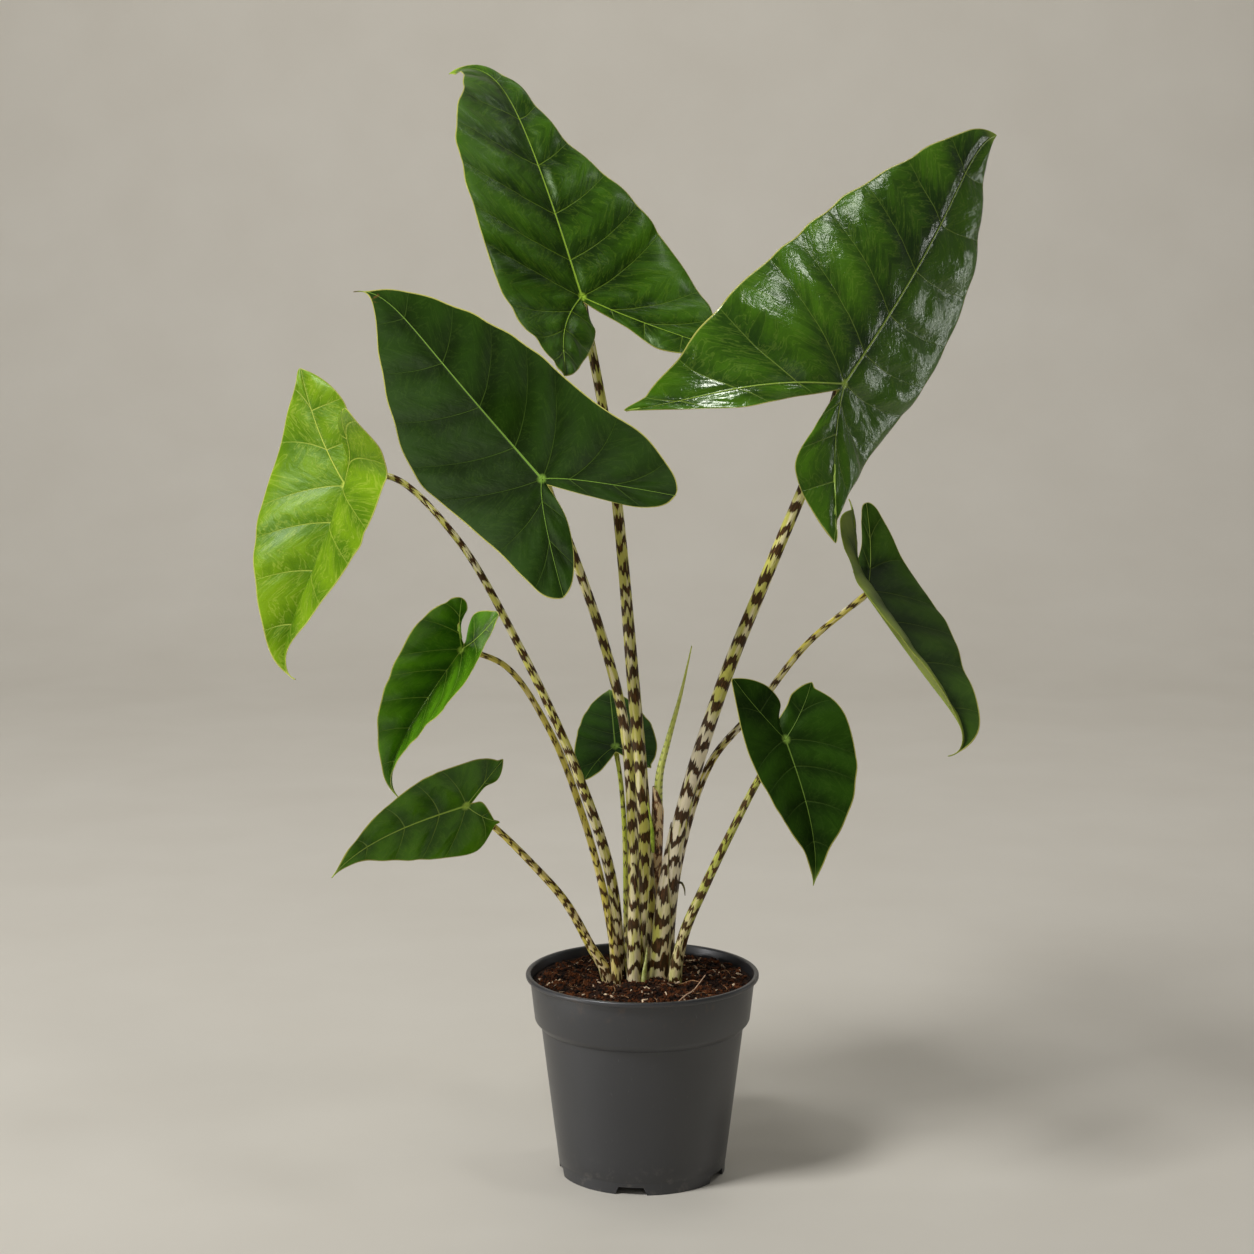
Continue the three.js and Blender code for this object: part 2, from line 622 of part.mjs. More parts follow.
function potGeometry() {
  const lipUnder = POT.height - POT.lipHeight;
  const lipInner = POT.rimRadius - POT.lipWidth;
  const profile = [
    [0, 0],
    [POT.padRadius, 0],
    [POT.padRadius + POT.padDraft, POT.floorUnder],
    [POT.footRadius - POT.footThickness - POT.footDraft, POT.floorUnder],
    [POT.footRadius - POT.footThickness, 0],
    [POT.footRadius, 0],
    [POT.footTopRadius - POT.footStep, POT.footHeight],
    [POT.footTopRadius, POT.footHeight],
    [POT.heelRadius, POT.heelHeight],
    [POT.wallLowRadius, POT.wallLowHeight],
    [POT.wallTopRadius, POT.wallTopHeight],
    [POT.bandBottomRadius, POT.bandBottomHeight],
    [POT.bandTopRadius, POT.bandTopHeight],
    [POT.bandTopRadius, lipUnder],
    [POT.rimRadius - POT.rimEdge, lipUnder],
    [POT.rimRadius, lipUnder + POT.rimEdge],
    [POT.rimRadius, POT.height - POT.rimEdge],
    [POT.rimRadius - POT.rimEdge, POT.height],
    [lipInner, POT.height],
    [lipInner - POT.rimEdge, POT.height - POT.rimEdge],
    ...potInside(POT.wall).reverse(),
  ];
  let solid = toSolid(latheGeometry(profile, POT.segments));
  for (let i = 0; i < POT.notches; i += 1) {
    const angle = degToRad(POT.notchTurn + (360 * i) / POT.notches);
    solid = solid.subtract(toSolid(notchGeometry(angle)));
  }
  for (let i = 0; i < POT.drainHoles; i += 1) {
    const angle = degToRad(POT.notchTurn + (360 * (i + 0.5)) / POT.drainHoles);
    solid = solid.subtract(toSolid(drainGeometry(angle)));
  }
  return fromSolid(solid);
}

// The low waves of the soil's surface.
function soilLump(x, y) {
  return SOIL.waves.reduce((sum, [height, alongX, alongY, phase]) => (
    sum + height * Math.sin(alongX * x + alongY * y + phase)), 0);
}

// The soil fills the pot and is highest round the stems, which stand in plain holes.
function soilGeometry(holes) {
  const inside = potInside(POT.wall + GAP);
  const [mouthRadius] = inside[inside.length - 1];
  const topRings = [...SOIL.rings].reverse().map((r) => {
    const slope = smoothstep(r, SOIL.crownRadius, SOIL.slopeRadius);
    return [r, lerp(SOIL.crownTop, SOIL.edgeTop, slope)];
  });
  inside[inside.length - 1][1] = SOIL.edgeTop;
  const geometry = latheGeometry([...inside, ...topRings, [0, SOIL.crownTop]], POT.segments);
  const { position } = geometry.attributes;
  for (let i = 0; i < position.count; i += 1) {
    const [x, y, z] = [position.getX(i), position.getY(i), position.getZ(i)];
    if (z >= SOIL.edgeTop && Math.hypot(x, y) < mouthRadius - GAP) {
      position.setZ(i, z + soilLump(x, y));
    }
  }
  return fromSolid(holes.reduce((solid, hole) => solid.subtract(toSolid(hole)), toSolid(geometry)));
}

// ---------------------------------------------------------------------------------------------
// The part
// ---------------------------------------------------------------------------------------------

const group = new THREE.Group();
group.name = 'alocasia_zebrina';

function add(name, geometry, [color, roughness]) {
  const material = new THREE.MeshStandardMaterial({ color, roughness, metalness: 0 });
  const mesh = new THREE.Mesh(geometry, material);
  mesh.name = name;
  group.add(mesh);
}

const holes = [];
for (const [name, leaf] of Object.entries(LEAVES)) {
  const stalk = petiole(leaf);
  holes.push(stalk.hole);
  add(`petiole_${name}`, stalk.body, FINISH.petiole);
  add(`blade_${name}`, bladeGeometry(leaf), [leaf.leafColour, FINISH.bladeRoughness]);
}
const young = newLeaf();
holes.push(young.sheathHole);
add('new_leaf_sheath', young.sheath, FINISH.sheath);
add('new_leaf_roll', young.roll, FINISH.roll);
add('pot', potGeometry(), FINISH.pot);
add('soil', soilGeometry(holes), FINISH.soil);

export default group;
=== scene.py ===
# %% [markdown]
# # An alocasia zebrina in its nursery pot
# Nine arrow-shaped leaves stand on zebra-banded stalks in a plain plastic pot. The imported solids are
# loaded first: they say where every leaf, stalk and wall is. Each one is then dressed with a finer
# piece of the same form. Lengths are written in millimetres and turned into metres when a mesh is made.

# %% Load the fixed frame
import json
import math

import bpy
import numpy as np
from mathutils import Vector, noise
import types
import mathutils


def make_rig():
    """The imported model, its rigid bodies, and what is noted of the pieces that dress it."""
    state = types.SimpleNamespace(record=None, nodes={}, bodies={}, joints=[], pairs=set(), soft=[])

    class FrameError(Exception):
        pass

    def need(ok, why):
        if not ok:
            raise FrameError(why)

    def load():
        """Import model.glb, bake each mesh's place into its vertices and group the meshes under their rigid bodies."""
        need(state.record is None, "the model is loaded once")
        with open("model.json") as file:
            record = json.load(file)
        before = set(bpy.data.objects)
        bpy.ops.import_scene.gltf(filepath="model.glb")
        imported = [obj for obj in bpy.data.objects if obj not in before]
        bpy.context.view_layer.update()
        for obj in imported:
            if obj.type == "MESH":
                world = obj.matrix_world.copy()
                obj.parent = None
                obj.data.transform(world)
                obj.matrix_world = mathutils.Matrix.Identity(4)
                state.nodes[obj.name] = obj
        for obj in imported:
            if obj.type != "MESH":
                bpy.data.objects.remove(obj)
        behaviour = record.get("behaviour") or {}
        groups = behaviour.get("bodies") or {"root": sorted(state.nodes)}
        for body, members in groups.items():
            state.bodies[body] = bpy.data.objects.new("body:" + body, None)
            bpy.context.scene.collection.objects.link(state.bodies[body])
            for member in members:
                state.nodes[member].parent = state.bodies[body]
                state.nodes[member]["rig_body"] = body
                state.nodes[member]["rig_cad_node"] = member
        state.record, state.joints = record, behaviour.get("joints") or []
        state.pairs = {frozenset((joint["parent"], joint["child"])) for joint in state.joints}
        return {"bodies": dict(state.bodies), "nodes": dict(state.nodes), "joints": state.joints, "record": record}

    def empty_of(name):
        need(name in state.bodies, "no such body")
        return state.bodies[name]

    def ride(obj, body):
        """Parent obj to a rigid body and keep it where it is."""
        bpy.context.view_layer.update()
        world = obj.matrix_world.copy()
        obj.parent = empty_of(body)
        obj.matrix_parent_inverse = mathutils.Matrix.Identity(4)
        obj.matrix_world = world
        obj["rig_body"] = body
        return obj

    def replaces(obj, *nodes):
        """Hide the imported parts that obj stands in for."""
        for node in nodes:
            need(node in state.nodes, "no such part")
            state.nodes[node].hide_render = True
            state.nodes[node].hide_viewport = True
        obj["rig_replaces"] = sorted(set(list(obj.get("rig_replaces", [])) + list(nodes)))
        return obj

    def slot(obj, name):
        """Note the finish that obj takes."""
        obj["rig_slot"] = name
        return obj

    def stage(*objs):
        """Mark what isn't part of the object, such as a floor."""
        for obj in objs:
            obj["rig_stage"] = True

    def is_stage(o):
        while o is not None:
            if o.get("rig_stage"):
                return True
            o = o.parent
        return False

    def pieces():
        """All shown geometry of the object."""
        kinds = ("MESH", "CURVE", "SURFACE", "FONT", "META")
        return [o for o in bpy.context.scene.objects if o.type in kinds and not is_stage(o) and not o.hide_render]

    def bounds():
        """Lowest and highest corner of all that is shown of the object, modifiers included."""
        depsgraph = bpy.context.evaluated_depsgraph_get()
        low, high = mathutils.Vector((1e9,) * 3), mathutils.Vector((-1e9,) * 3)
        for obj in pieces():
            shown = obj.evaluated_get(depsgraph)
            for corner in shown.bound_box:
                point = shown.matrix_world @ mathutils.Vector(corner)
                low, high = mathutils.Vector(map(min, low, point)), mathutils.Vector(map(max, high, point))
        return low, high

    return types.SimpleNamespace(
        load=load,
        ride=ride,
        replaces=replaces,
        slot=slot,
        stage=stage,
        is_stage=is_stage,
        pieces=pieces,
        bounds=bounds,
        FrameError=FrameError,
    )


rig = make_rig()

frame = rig.load()
CAD_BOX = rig.bounds()
MM = 0.001
print("solids in the frame:", len(frame["nodes"]))

# %% [markdown]
# ## Camera
# The picture is square and taken with a fairly long lens from the height of the upper leaves, tipped
# down a little. A long lens keeps the leaf blades' proportions, so the camera stands well back.

# %% Camera
CAMERA_PLACE = (-0.0112, -1.855, 0.656)
CAMERA_DOWN = 7.8
LENS = 75.0


def make_camera():
    camera = bpy.data.objects.new("camera", bpy.data.cameras.new("camera"))
    bpy.context.scene.collection.objects.link(camera)
    camera.location = CAMERA_PLACE
    camera.rotation_euler = (math.radians(90 - CAMERA_DOWN), 0, 0)
    camera.data.lens = LENS
    camera.data.sensor_width = 36
    bpy.context.scene.camera = camera
    return camera


make_camera()
print("camera height above the floor, in metres:", CAMERA_PLACE[2])

# %% [markdown]
# ## Light
# Leaves show their gloss only when a soft light is mirrored in them, so each box stands where one group
# of leaves mirrors it. The key at the left front is the main light. The box overhead draws the crinkled
# white patches on the glossy leaf, a narrow one at the right edges the leaves and stalks, and a low one
# at the left shines into the crowd of stalks. A weak fill opens the shadows and a wash lights the
# backdrop. The world is dim, so that it doesn't veil the leaves with grey, and only looks pale where
# the camera sees it.

# %% Lights
TARGET = Vector((0, 0, 0.42))
WORLD_LIGHT, WORLD_SEEN = 0.13, 0.55


def soft_box(name, place, size, power, target=TARGET):
    """An area light that faces a point."""
    light = bpy.data.lights.new(name, "AREA")
    light.shape = "RECTANGLE"
    light.size, light.size_y = size
    light.energy = power
    lamp = bpy.data.objects.new(name, light)
    bpy.context.scene.collection.objects.link(lamp)
    lamp.location = place
    lamp.rotation_euler = (Vector(target) - Vector(place)).to_track_quat("-Z", "Y").to_euler()
    return lamp


def make_world():
    """A dim even light that looks like a pale wall to the camera."""
    world = bpy.data.worlds.new("studio")
    world.use_nodes = True
    tree = world.node_tree
    background = tree.nodes["Background"]
    background.inputs["Color"].default_value = (1.0, 0.98, 0.94, 1)
    path = tree.nodes.new("ShaderNodeLightPath")
    level = tree.nodes.new("ShaderNodeMapRange")
    level.inputs["To Min"].default_value = WORLD_LIGHT
    level.inputs["To Max"].default_value = WORLD_SEEN
    tree.links.new(path.outputs["Is Camera Ray"], level.inputs["Value"])
    tree.links.new(level.outputs["Result"], background.inputs["Strength"])
    bpy.context.scene.world = world


soft_box("key", (-1.6, -1.2, 2.55), (0.75, 0.75), 62)
soft_box("overhead", (0.9, -0.5, 2.95), (0.36, 0.36), 6)
soft_box("edge", (2.5, 0.95, 0.5), (0.14, 0.8), 2.5)
soft_box("low_strip", (-2.4, -0.8, 0.25), (0.6, 0.45), 18)
soft_box("fill", (1.0, -2.8, 0.9), (1.6, 1.6), 2.5)
soft_box("backdrop_wash", (0, 0.9, 2.9), (3.0, 0.5), 30, (0, 3.4, 1.0))
make_world()
bpy.context.scene.view_settings.view_transform = "Standard"
print("lights:", [o.name for o in bpy.data.objects if o.type == "LIGHT"])

# %% [markdown]
# ## Writing materials as sums
# A finish is mostly arithmetic: how far a point is from a rib, which band it is in. Wiring that by hand
# takes hundreds of lines, so one small class lets a socket stand in a Python expression, and each
# operator adds its Math node. Colours go through Mix nodes, because a Math node would turn them grey.

# %% Shader helper
def add_node(tree, kind, settings=None, sockets=None):
    """Adds a node: its settings first, then its sockets' values or links."""
    node = tree.nodes.new(kind)
    for name, value in (settings or {}).items():
        setattr(node, name, value)
    for name, value in (sockets or {}).items():
        if isinstance(value, bpy.types.NodeSocket):
            tree.links.new(value, node.inputs[name])
        else:
            node.inputs[name].default_value = value
    return node


class Value:
    """A number in a material's node tree that Python's operators work on."""

    def __init__(self, shader, socket):
        self.shader, self.socket = shader, socket

    def __add__(self, other):
        return self.shader.math("ADD", self, other)

    def __sub__(self, other):
        return self.shader.math("SUBTRACT", self, other)

    def __rsub__(self, other):
        return self.shader.math("SUBTRACT", other, self)

    def __mul__(self, other):
        return self.shader.math("MULTIPLY", self, other)

    def __truediv__(self, other):
        return self.shader.math("DIVIDE", self, other)

    def __pow__(self, other):
        return self.shader.math("POWER", self, other)

    def __abs__(self):
        return self.shader.math("ABSOLUTE", self)

    def __round__(self):
        return self.shader.math("ROUND", self)

    __radd__ = __add__
    __rmul__ = __mul__


class Shader:
    """One material, written as expressions."""

    def __init__(self, name):
        self.material = bpy.data.materials.new(name)
        self.material.use_nodes = True
        self.tree = self.material.node_tree
        self.tree.nodes.clear()

    def node(self, kind, settings=None, sockets=None):
        plain = {name: value.socket if isinstance(value, Value) else value
                 for name, value in (sockets or {}).items()}
        return add_node(self.tree, kind, settings, plain)

    def math(self, operation, *values):
        node = self.node("ShaderNodeMath", {"operation": operation}, dict(enumerate(values)))
        return Value(self, node.outputs[0])

    def most(self, first, second):
        return self.math("MAXIMUM", first, second)

    def step(self, value, low, high):
        """0 below low and 1 above high, with a smooth passage between."""
        node = self.node("ShaderNodeMapRange", {"interpolation_type": "SMOOTHSTEP"},
                         {"Value": value, "From Min": low, "From Max": high})
        return Value(self, node.outputs[0])

    def mix(self, share, first, second):
        """A colour between two colours."""
        node = self.node("ShaderNodeMix", {"data_type": "RGBA"}, {0: share, 6: first, 7: second})
        return node.outputs[2]

    def vector(self, x, y, z):
        return self.node("ShaderNodeCombineXYZ", None, {"X": x, "Y": y, "Z": z}).outputs[0]

    def parts(self, vector):
        node = self.node("ShaderNodeSeparateXYZ", None, {"Vector": vector})
        return [Value(self, output) for output in node.outputs]

    def attribute(self, name):
        """A vector attribute's three numbers."""
        return self.parts(self.node("ShaderNodeAttribute", {"attribute_name": name}).outputs["Vector"])

    def place(self):
        """The point's own place on the piece, in metres."""
        return self.node("ShaderNodeTexCoord").outputs["Object"]

    def noise(self, vector, scale, detail=2.0, roughness=0.5, distortion=0.0):
        node = self.node("ShaderNodeTexNoise", None, {
            "Vector": vector, "Scale": scale, "Detail": detail, "Roughness": roughness,
            "Distortion": distortion})
        return Value(self, node.outputs["Fac"])

    def bump(self, height, distance, strength=1.0):
        """A normal that leans as the height changes; the distance is in metres."""
        node = self.node("ShaderNodeBump", None, {
            "Height": height, "Distance": distance, "Strength": strength})
        return node.outputs[0]

    def finish(self, **sockets):
        """Ends the material in one surface shader. Underlines in a socket's name stand for spaces."""
        named = {name.replace("_", " "): value for name, value in sockets.items()}
        surface = self.node("ShaderNodeBsdfPrincipled", None, named)
        self.node("ShaderNodeOutputMaterial", None, {"Surface": surface.outputs[0]})
        return self.material


def colour(code):
    """A colour from its six-figure web code, as the linear numbers that shaders use."""
    channels = [int(code[i:i + 2], 16) / 255 for i in (0, 2, 4)]
    linear = [c / 12.92 if c <= 0.04045 else ((c + 0.055) / 1.055) ** 2.4 for c in channels]
    return (*linear, 1.0)


print("a mid green in linear light:", [round(c, 3) for c in colour("40661a")[:3]])

# %% [markdown]
# ## Floor and backdrop
# A pale sweep of board lies under the pot and rises far behind it, so that no horizon line crosses the
# leaves. It is stage only. A faint mottling keeps it from looking like a flat computer colour.

# %% Floor
SWEEP_WIDTH, SWEEP_FRONT, SWEEP_BACK, SWEEP_HEIGHT, SWEEP_RADIUS = 8.0, -4.0, 2.2, 4.5, 1.2


def sweep_material():
    shader = Shader("pale_board")
    mottle = shader.noise(shader.place(), 6, 4)
    base = shader.mix(mottle, colour("cfc9bd"), colour("d8d3c8"))
    return shader.finish(Base_Color=base, Roughness=0.8)


def make_sweep():
    turn = np.linspace(0, math.pi / 2, 13)
    arc = [(SWEEP_BACK + SWEEP_RADIUS * math.sin(t), SWEEP_RADIUS * (1 - math.cos(t))) for t in turn]
    line = [(SWEEP_FRONT, 0.0), *arc, (SWEEP_BACK + SWEEP_RADIUS, SWEEP_HEIGHT)]
    verts = [(side * SWEEP_WIDTH / 2, y, z) for y, z in line for side in (-1, 1)]
    faces = [(2 * i, 2 * i + 1, 2 * i + 3, 2 * i + 2) for i in range(len(line) - 1)]
    mesh = bpy.data.meshes.new("backdrop")
    mesh.from_pydata(verts, [], faces)
    mesh.shade_smooth()
    mesh.materials.append(sweep_material())
    sweep = bpy.data.objects.new("backdrop", mesh)
    bpy.context.scene.collection.objects.link(sweep)
    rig.stage(sweep)
    return sweep


make_sweep()
print("backdrop rises at", SWEEP_BACK, "m behind the pot")

# %% Making and handing over pieces
def make_mesh(name, points, faces, material=None, attributes=None, edges=(), flat=False):
    """A mesh from points in millimetres, with vector attributes on its points, as an object."""
    mesh = bpy.data.meshes.new(name)
    mesh.from_pydata((np.asarray(points) * MM).tolist(), edges, faces)
    for key, values in (attributes or {}).items():
        data = mesh.attributes.new(key, "FLOAT_VECTOR", "POINT").data
        data.foreach_set("vector", np.asarray(values, np.float32).ravel())
    if material:
        mesh.materials.append(material)
    if not flat:
        mesh.shade_smooth()
    mesh.validate()
    piece = bpy.data.objects.new(name, mesh)
    bpy.context.scene.collection.objects.link(piece)
    return piece


def hand_over(piece, slot, *nodes):
    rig.ride(piece, "root")
    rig.slot(piece, slot)
    if nodes:
        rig.replaces(piece, *nodes)
    print(piece.name, "has", len(piece.data.polygons), "faces")
    return piece


def apply_modifiers(piece):
    """Turns a piece with live modifiers into a plain mesh."""
    evaluated = piece.evaluated_get(bpy.context.evaluated_depsgraph_get())
    mesh = bpy.data.meshes.new_from_object(evaluated)
    piece.modifiers.clear()
    piece.data = mesh
    return piece


def tube_faces(rings, sides, first=0):
    """Faces between rings of points that are numbered from first, and one over each end."""
    faces = [(first + i * sides + j, first + i * sides + (j + 1) % sides,
              first + (i + 1) * sides + (j + 1) % sides, first + (i + 1) * sides + j)
             for i in range(rings - 1) for j in range(sides)]
    bottom = tuple(first + j for j in reversed(range(sides)))
    return [*faces, bottom, tuple(first + (rings - 1) * sides + j for j in range(sides))]


print("faces of a block:", tube_faces(2, 4))

# %% [markdown]
# ## The leaves' driving sizes
# Each leaf is one flat arrow shape that is bent. The table gives the joint where stalk and blade meet,
# the directions and bends of the blade in degrees, its half widths from tip to joint, the two lobes
# behind the joint, half the width of the lobes' ribs, and the path and radii of its stalk. The solids
# have the same numbers, so that the fine blades lie where the plain ones do. Only the dark leaf's lobes
# are a little rounder here. The veins are counted for one half: those that leave the midrib, then those
# that leave the lobe's rib.

# %% Leaf table
LEAVES = {
    "top": dict(
        joint=(-44, 45, 636), yaw=108, pitch=-27, roll=18, droop=40, sway=-1, hook=-97, twist=-4,
        length=267, sinus=4, veins=(6, 4), wave=2.6, quilt=1.5, rib=2.6, lobe_line=0.6,
        right=dict(widths=(3, 12, 25, 60, 82, 88, 86), lobe=(73, 86), inner=(45, 24),
                   fold=5, curl=11, cup=0.06, drop=-0.03, bow=(0.38, 0.38)),
        left=dict(widths=(14, 34, 64, 73, 72, 70, 66), lobe=(79, 56), inner=(31, 0),
                  fold=31, curl=16, cup=0.1, drop=-0.04, bow=(0.3, 0.55)),
        stalk=((3, 1, 150), (1, 8, 255), (-7, 16, 363), (-21, 31, 510), (-36, 44, 595)),
        radii=(6.5, 3.3)),
    "glossy": dict(
        joint=(138, -55, 578), yaw=53, pitch=-36, roll=24, droop=2, sway=-17, hook=47, twist=-2,
        length=267, sinus=6, veins=(6, 4), wave=2.2, quilt=1.8, rib=2.6, lobe_line=0.75,
        right=dict(widths=(10, 35, 61, 67, 60, 52, 52), lobe=(98, 59), inner=(8, 0),
                   fold=-10, curl=25, cup=0.06, drop=0.16, bow=(0.15, 0.1)),
        left=dict(widths=(13, 38, 63, 77, 86, 90, 100), lobe=(75, 106), inner=(50, 21),
                  fold=8, curl=-31, cup=0.64, drop=0.1, bow=(0.8, 0.53)),
        stalk=((16, -4, 150), (24, -10, 245), (54, -20, 355), (90, -30, 450), (118, -36, 520)),
        radii=(7, 3.8)),
    "dark": dict(
        joint=(-69, -75, 514), yaw=134, pitch=-34, roll=0, droop=4, sway=4, hook=-55, twist=-1,
        length=235, sinus=6, veins=(5, 3), wave=1.6, quilt=0.7, rib=2.4, lobe_line=0.45,
        right=dict(widths=(2, 22, 46, 63, 70, 79, 75), lobe=(94, 64), inner=(40, 19),
                   fold=17, curl=-7, cup=-0.26, drop=0.06, bow=(0.18, 0.28)),
        left=dict(widths=(3, 25, 49, 66, 59, 55, 54), lobe=(88, 43), inner=(23, 6),
                  fold=17, curl=7, cup=0.04, drop=0.01, bow=(0.12, 0.28)),
        stalk=((-7, -12, 150), (-7, -22, 250), (-13, -32, 335), (-29, -44, 402), (-52, -56, 470)),
        radii=(4.5, 3.2)),
    "lime": dict(
        joint=(-210, -10, 504), yaw=-110, pitch=17, roll=29, droop=10, sway=12, hook=-105, twist=-12,
        length=149, sinus=6, veins=(4, 3), wave=1.4, quilt=0.6, rib=2, lobe_line=0.7,
        right=dict(widths=(2, 20, 42, 55, 59, 62, 63), lobe=(73, 63), inner=(25, 8),
                   fold=13, curl=5, cup=0.11, drop=-0.05),
        left=dict(widths=(4, 27, 48, 63, 66, 79, 82), lobe=(33, 75), inner=(36, 24),
                  fold=70, curl=33, cup=0.47, drop=-0.09),
        stalk=((-17, -4, 150), (-23, -3, 220), (-48, 0, 298), (-88, 4, 386), (-134, 8, 466),
               (-180, 8, 509)),
        radii=(4.7, 2.2)),
    "small_left": dict(
        joint=(-125, -70, 396), yaw=-125, pitch=-20, roll=0, droop=8, sway=-18, hook=-59, twist=16,
        length=141, sinus=3, veins=(5, 3), wave=1.2, quilt=0.7, rib=1.8, lobe_line=0.6,
        right=dict(widths=(2, 11, 26, 36, 42, 40, 33), lobe=(40, 25), inner=(16, 14),
                   fold=33, curl=1, cup=0.03, drop=0.02),
        left=dict(widths=(2, 11, 24, 40, 43, 42, 32), lobe=(48, 20), inner=(3, -14),
                  fold=62, curl=6, cup=-0.2, drop=0.04),
        stalk=((-19, -16, 150), (-26, -21, 203), (-42, -30, 268), (-65, -43, 333), (-95, -54, 381)),
        radii=(3.3, 2)),
    "low_left": dict(
        joint=(-124, -60, 284), yaw=-168, pitch=31, roll=-18, droop=-8, sway=-25, hook=-17, twist=-3,
        length=113, sinus=4, veins=(4, 2), wave=1.2, quilt=0.9, rib=1.8, lobe_line=0.55,
        right=dict(widths=(2, 13, 27, 36, 36, 33, 27), lobe=(32, 26), inner=(12, 10),
                   fold=13, curl=-9, cup=0.07, drop=0.03),
        left=dict(widths=(2, 9, 24, 34, 40, 38, 25), lobe=(28, 24), inner=(20, 2),
                  fold=-2, curl=-6, cup=0.04, drop=0.01),
        stalk=((-27, -14, 150), (-38, -15, 172), (-56, -17, 205), (-80, -21, 234), (-104, -28, 260)),
        radii=(4.2, 2.1)),
    "back": dict(
        joint=(-20, 75, 301), yaw=97, pitch=-57, roll=0, droop=17, sway=-2, hook=0, twist=2,
        length=73, sinus=6, veins=(4, 2), wave=0.8, quilt=0.6, rib=1.4, lobe_line=0.4,
        right=dict(widths=(3, 11, 20, 28, 30, 29, 25), lobe=(28, 24), inner=(15, 8),
                   fold=15, curl=-3, cup=0.21, drop=-0.03),
        left=dict(widths=(3, 12, 21, 27, 30, 29, 26), lobe=(31, 25), inner=(14, 6),
                  fold=14, curl=-6, cup=0.19, drop=0.01),
        stalk=((-12, 12, 150), (-12, 25, 195), (-13, 44, 243), (-16, 62, 278)),
        radii=(2.4, 1.7)),
    "heart": dict(
        joint=(97, -95, 337), yaw=-70, pitch=24, roll=-23, droop=17, sway=19, hook=9, twist=1,
        length=103, sinus=15, veins=(4, 2), wave=1.2, quilt=0.6, rib=1.8, lobe_line=0.35,
        right=dict(widths=(3, 13, 29, 38, 41, 37, 33), lobe=(47, 29), inner=(4, -7),
                   fold=29, curl=-6, cup=0.02, drop=-0.16),
        left=dict(widths=(2, 11, 30, 42, 45, 42, 32), lobe=(34, 31), inner=(16, 9),
                  fold=20, curl=-5, cup=0.13, drop=-0.02),
        stalk=((24, -17, 150), (30, -24, 183), (45, -36, 222), (64, -52, 267), (82, -68, 307)),
        radii=(4.8, 2.3)),
    "hanging": dict(
        joint=(166, 60, 420), yaw=-56, pitch=52, roll=-23, droop=-5, sway=-6, hook=109, twist=7,
        length=196, sinus=24, veins=(4, 3), wave=1.6, quilt=0.8, rib=2, lobe_line=0.4,
        right=dict(widths=(2, 19, 45, 54, 44, 54, 49), lobe=(40, 52), inner=(27, 19),
                   fold=90, curl=28, cup=0.56, drop=-0.12),
        left=dict(widths=(2, 18, 30, 44, 45, 42, 41), lobe=(79, 35), inner=(26, 16),
                  fold=-10, curl=19, cup=0.15, drop=-0.33),
        stalk=((19, 10, 150), (27, 18, 227), (50, 30, 297), (84, 46, 335), (122, 64, 380)),
        radii=(3.8, 2.3)),
}
print("leaves:", ", ".join(LEAVES))

# %% [markdown]
# ## Bending a flat leaf
# A point of the flat leaf has u along the midrib and v out to one side. The midrib is walked in small
# steps from the joint to the tip while its heading droops, sways and hooks. Then each half is folded up
# or down about the midrib and cupped across its width, as a real blade hangs from its ribs.

# %% Bend rules
BEND_POWER, HOOK_POWER, CUP_SPAN, MIDRIB_STEPS = 2, 10, 0.35, 240


def lerp(a, b, t):
    return a + (b - a) * t


def smooth(t):
    t = np.clip(t, 0, 1)
    return t * t * (3 - 2 * t)


def unit(vectors):
    return vectors / np.maximum(np.linalg.norm(vectors, axis=-1, keepdims=True), 1e-9)


def blade_frame(leaf):
    """The blade's directions at the joint: along the midrib, out of the upper face, to its right."""
    yaw, pitch, roll = (math.radians(leaf[key]) for key in ("yaw", "pitch", "roll"))
    along = np.array([math.cos(yaw) * math.cos(pitch), -math.sin(pitch), math.sin(yaw) * math.cos(pitch)])
    front = np.array([0, -1.0, 0])
    front = unit(front - along * (front @ along))
    up = math.cos(roll) * front + math.sin(roll) * np.cross(along, front)
    return along, up, np.cross(along, up)


def midrib_frame(leaf, x):
    """The directions along the midrib at x, from 0 at the joint to 1 at the tip."""
    along, up, right = blade_frame(leaf)
    x = np.asarray(x, float)[..., None]
    droop = np.radians(leaf["droop"]) * x ** BEND_POWER
    sway = np.radians(leaf["sway"]) * x ** BEND_POWER + np.radians(leaf["hook"]) * x ** HOOK_POWER
    twist = np.radians(leaf["twist"]) * x
    heading = np.cos(sway) * along + np.sin(sway) * right
    tangent = np.cos(droop) * heading - np.sin(droop) * up
    flat_up = np.cos(droop) * up + np.sin(droop) * heading
    flat_right = np.cross(tangent, flat_up)
    return (tangent, np.cos(twist) * flat_up + np.sin(twist) * flat_right,
            np.cos(twist) * flat_right - np.sin(twist) * flat_up)


def midrib_points(leaf, x):
    """Where the midrib is at x."""
    knots = np.linspace(0, 1, MIDRIB_STEPS + 1)
    tangent = midrib_frame(leaf, knots)[0]
    steps = (tangent[1:] + tangent[:-1]) / 2 * leaf["length"] / MIDRIB_STEPS
    line = np.vstack([np.zeros(3), np.cumsum(steps, axis=0)]) + np.array(leaf["joint"])
    return np.stack([np.interp(x, knots, line[:, axis]) for axis in range(3)], axis=-1)


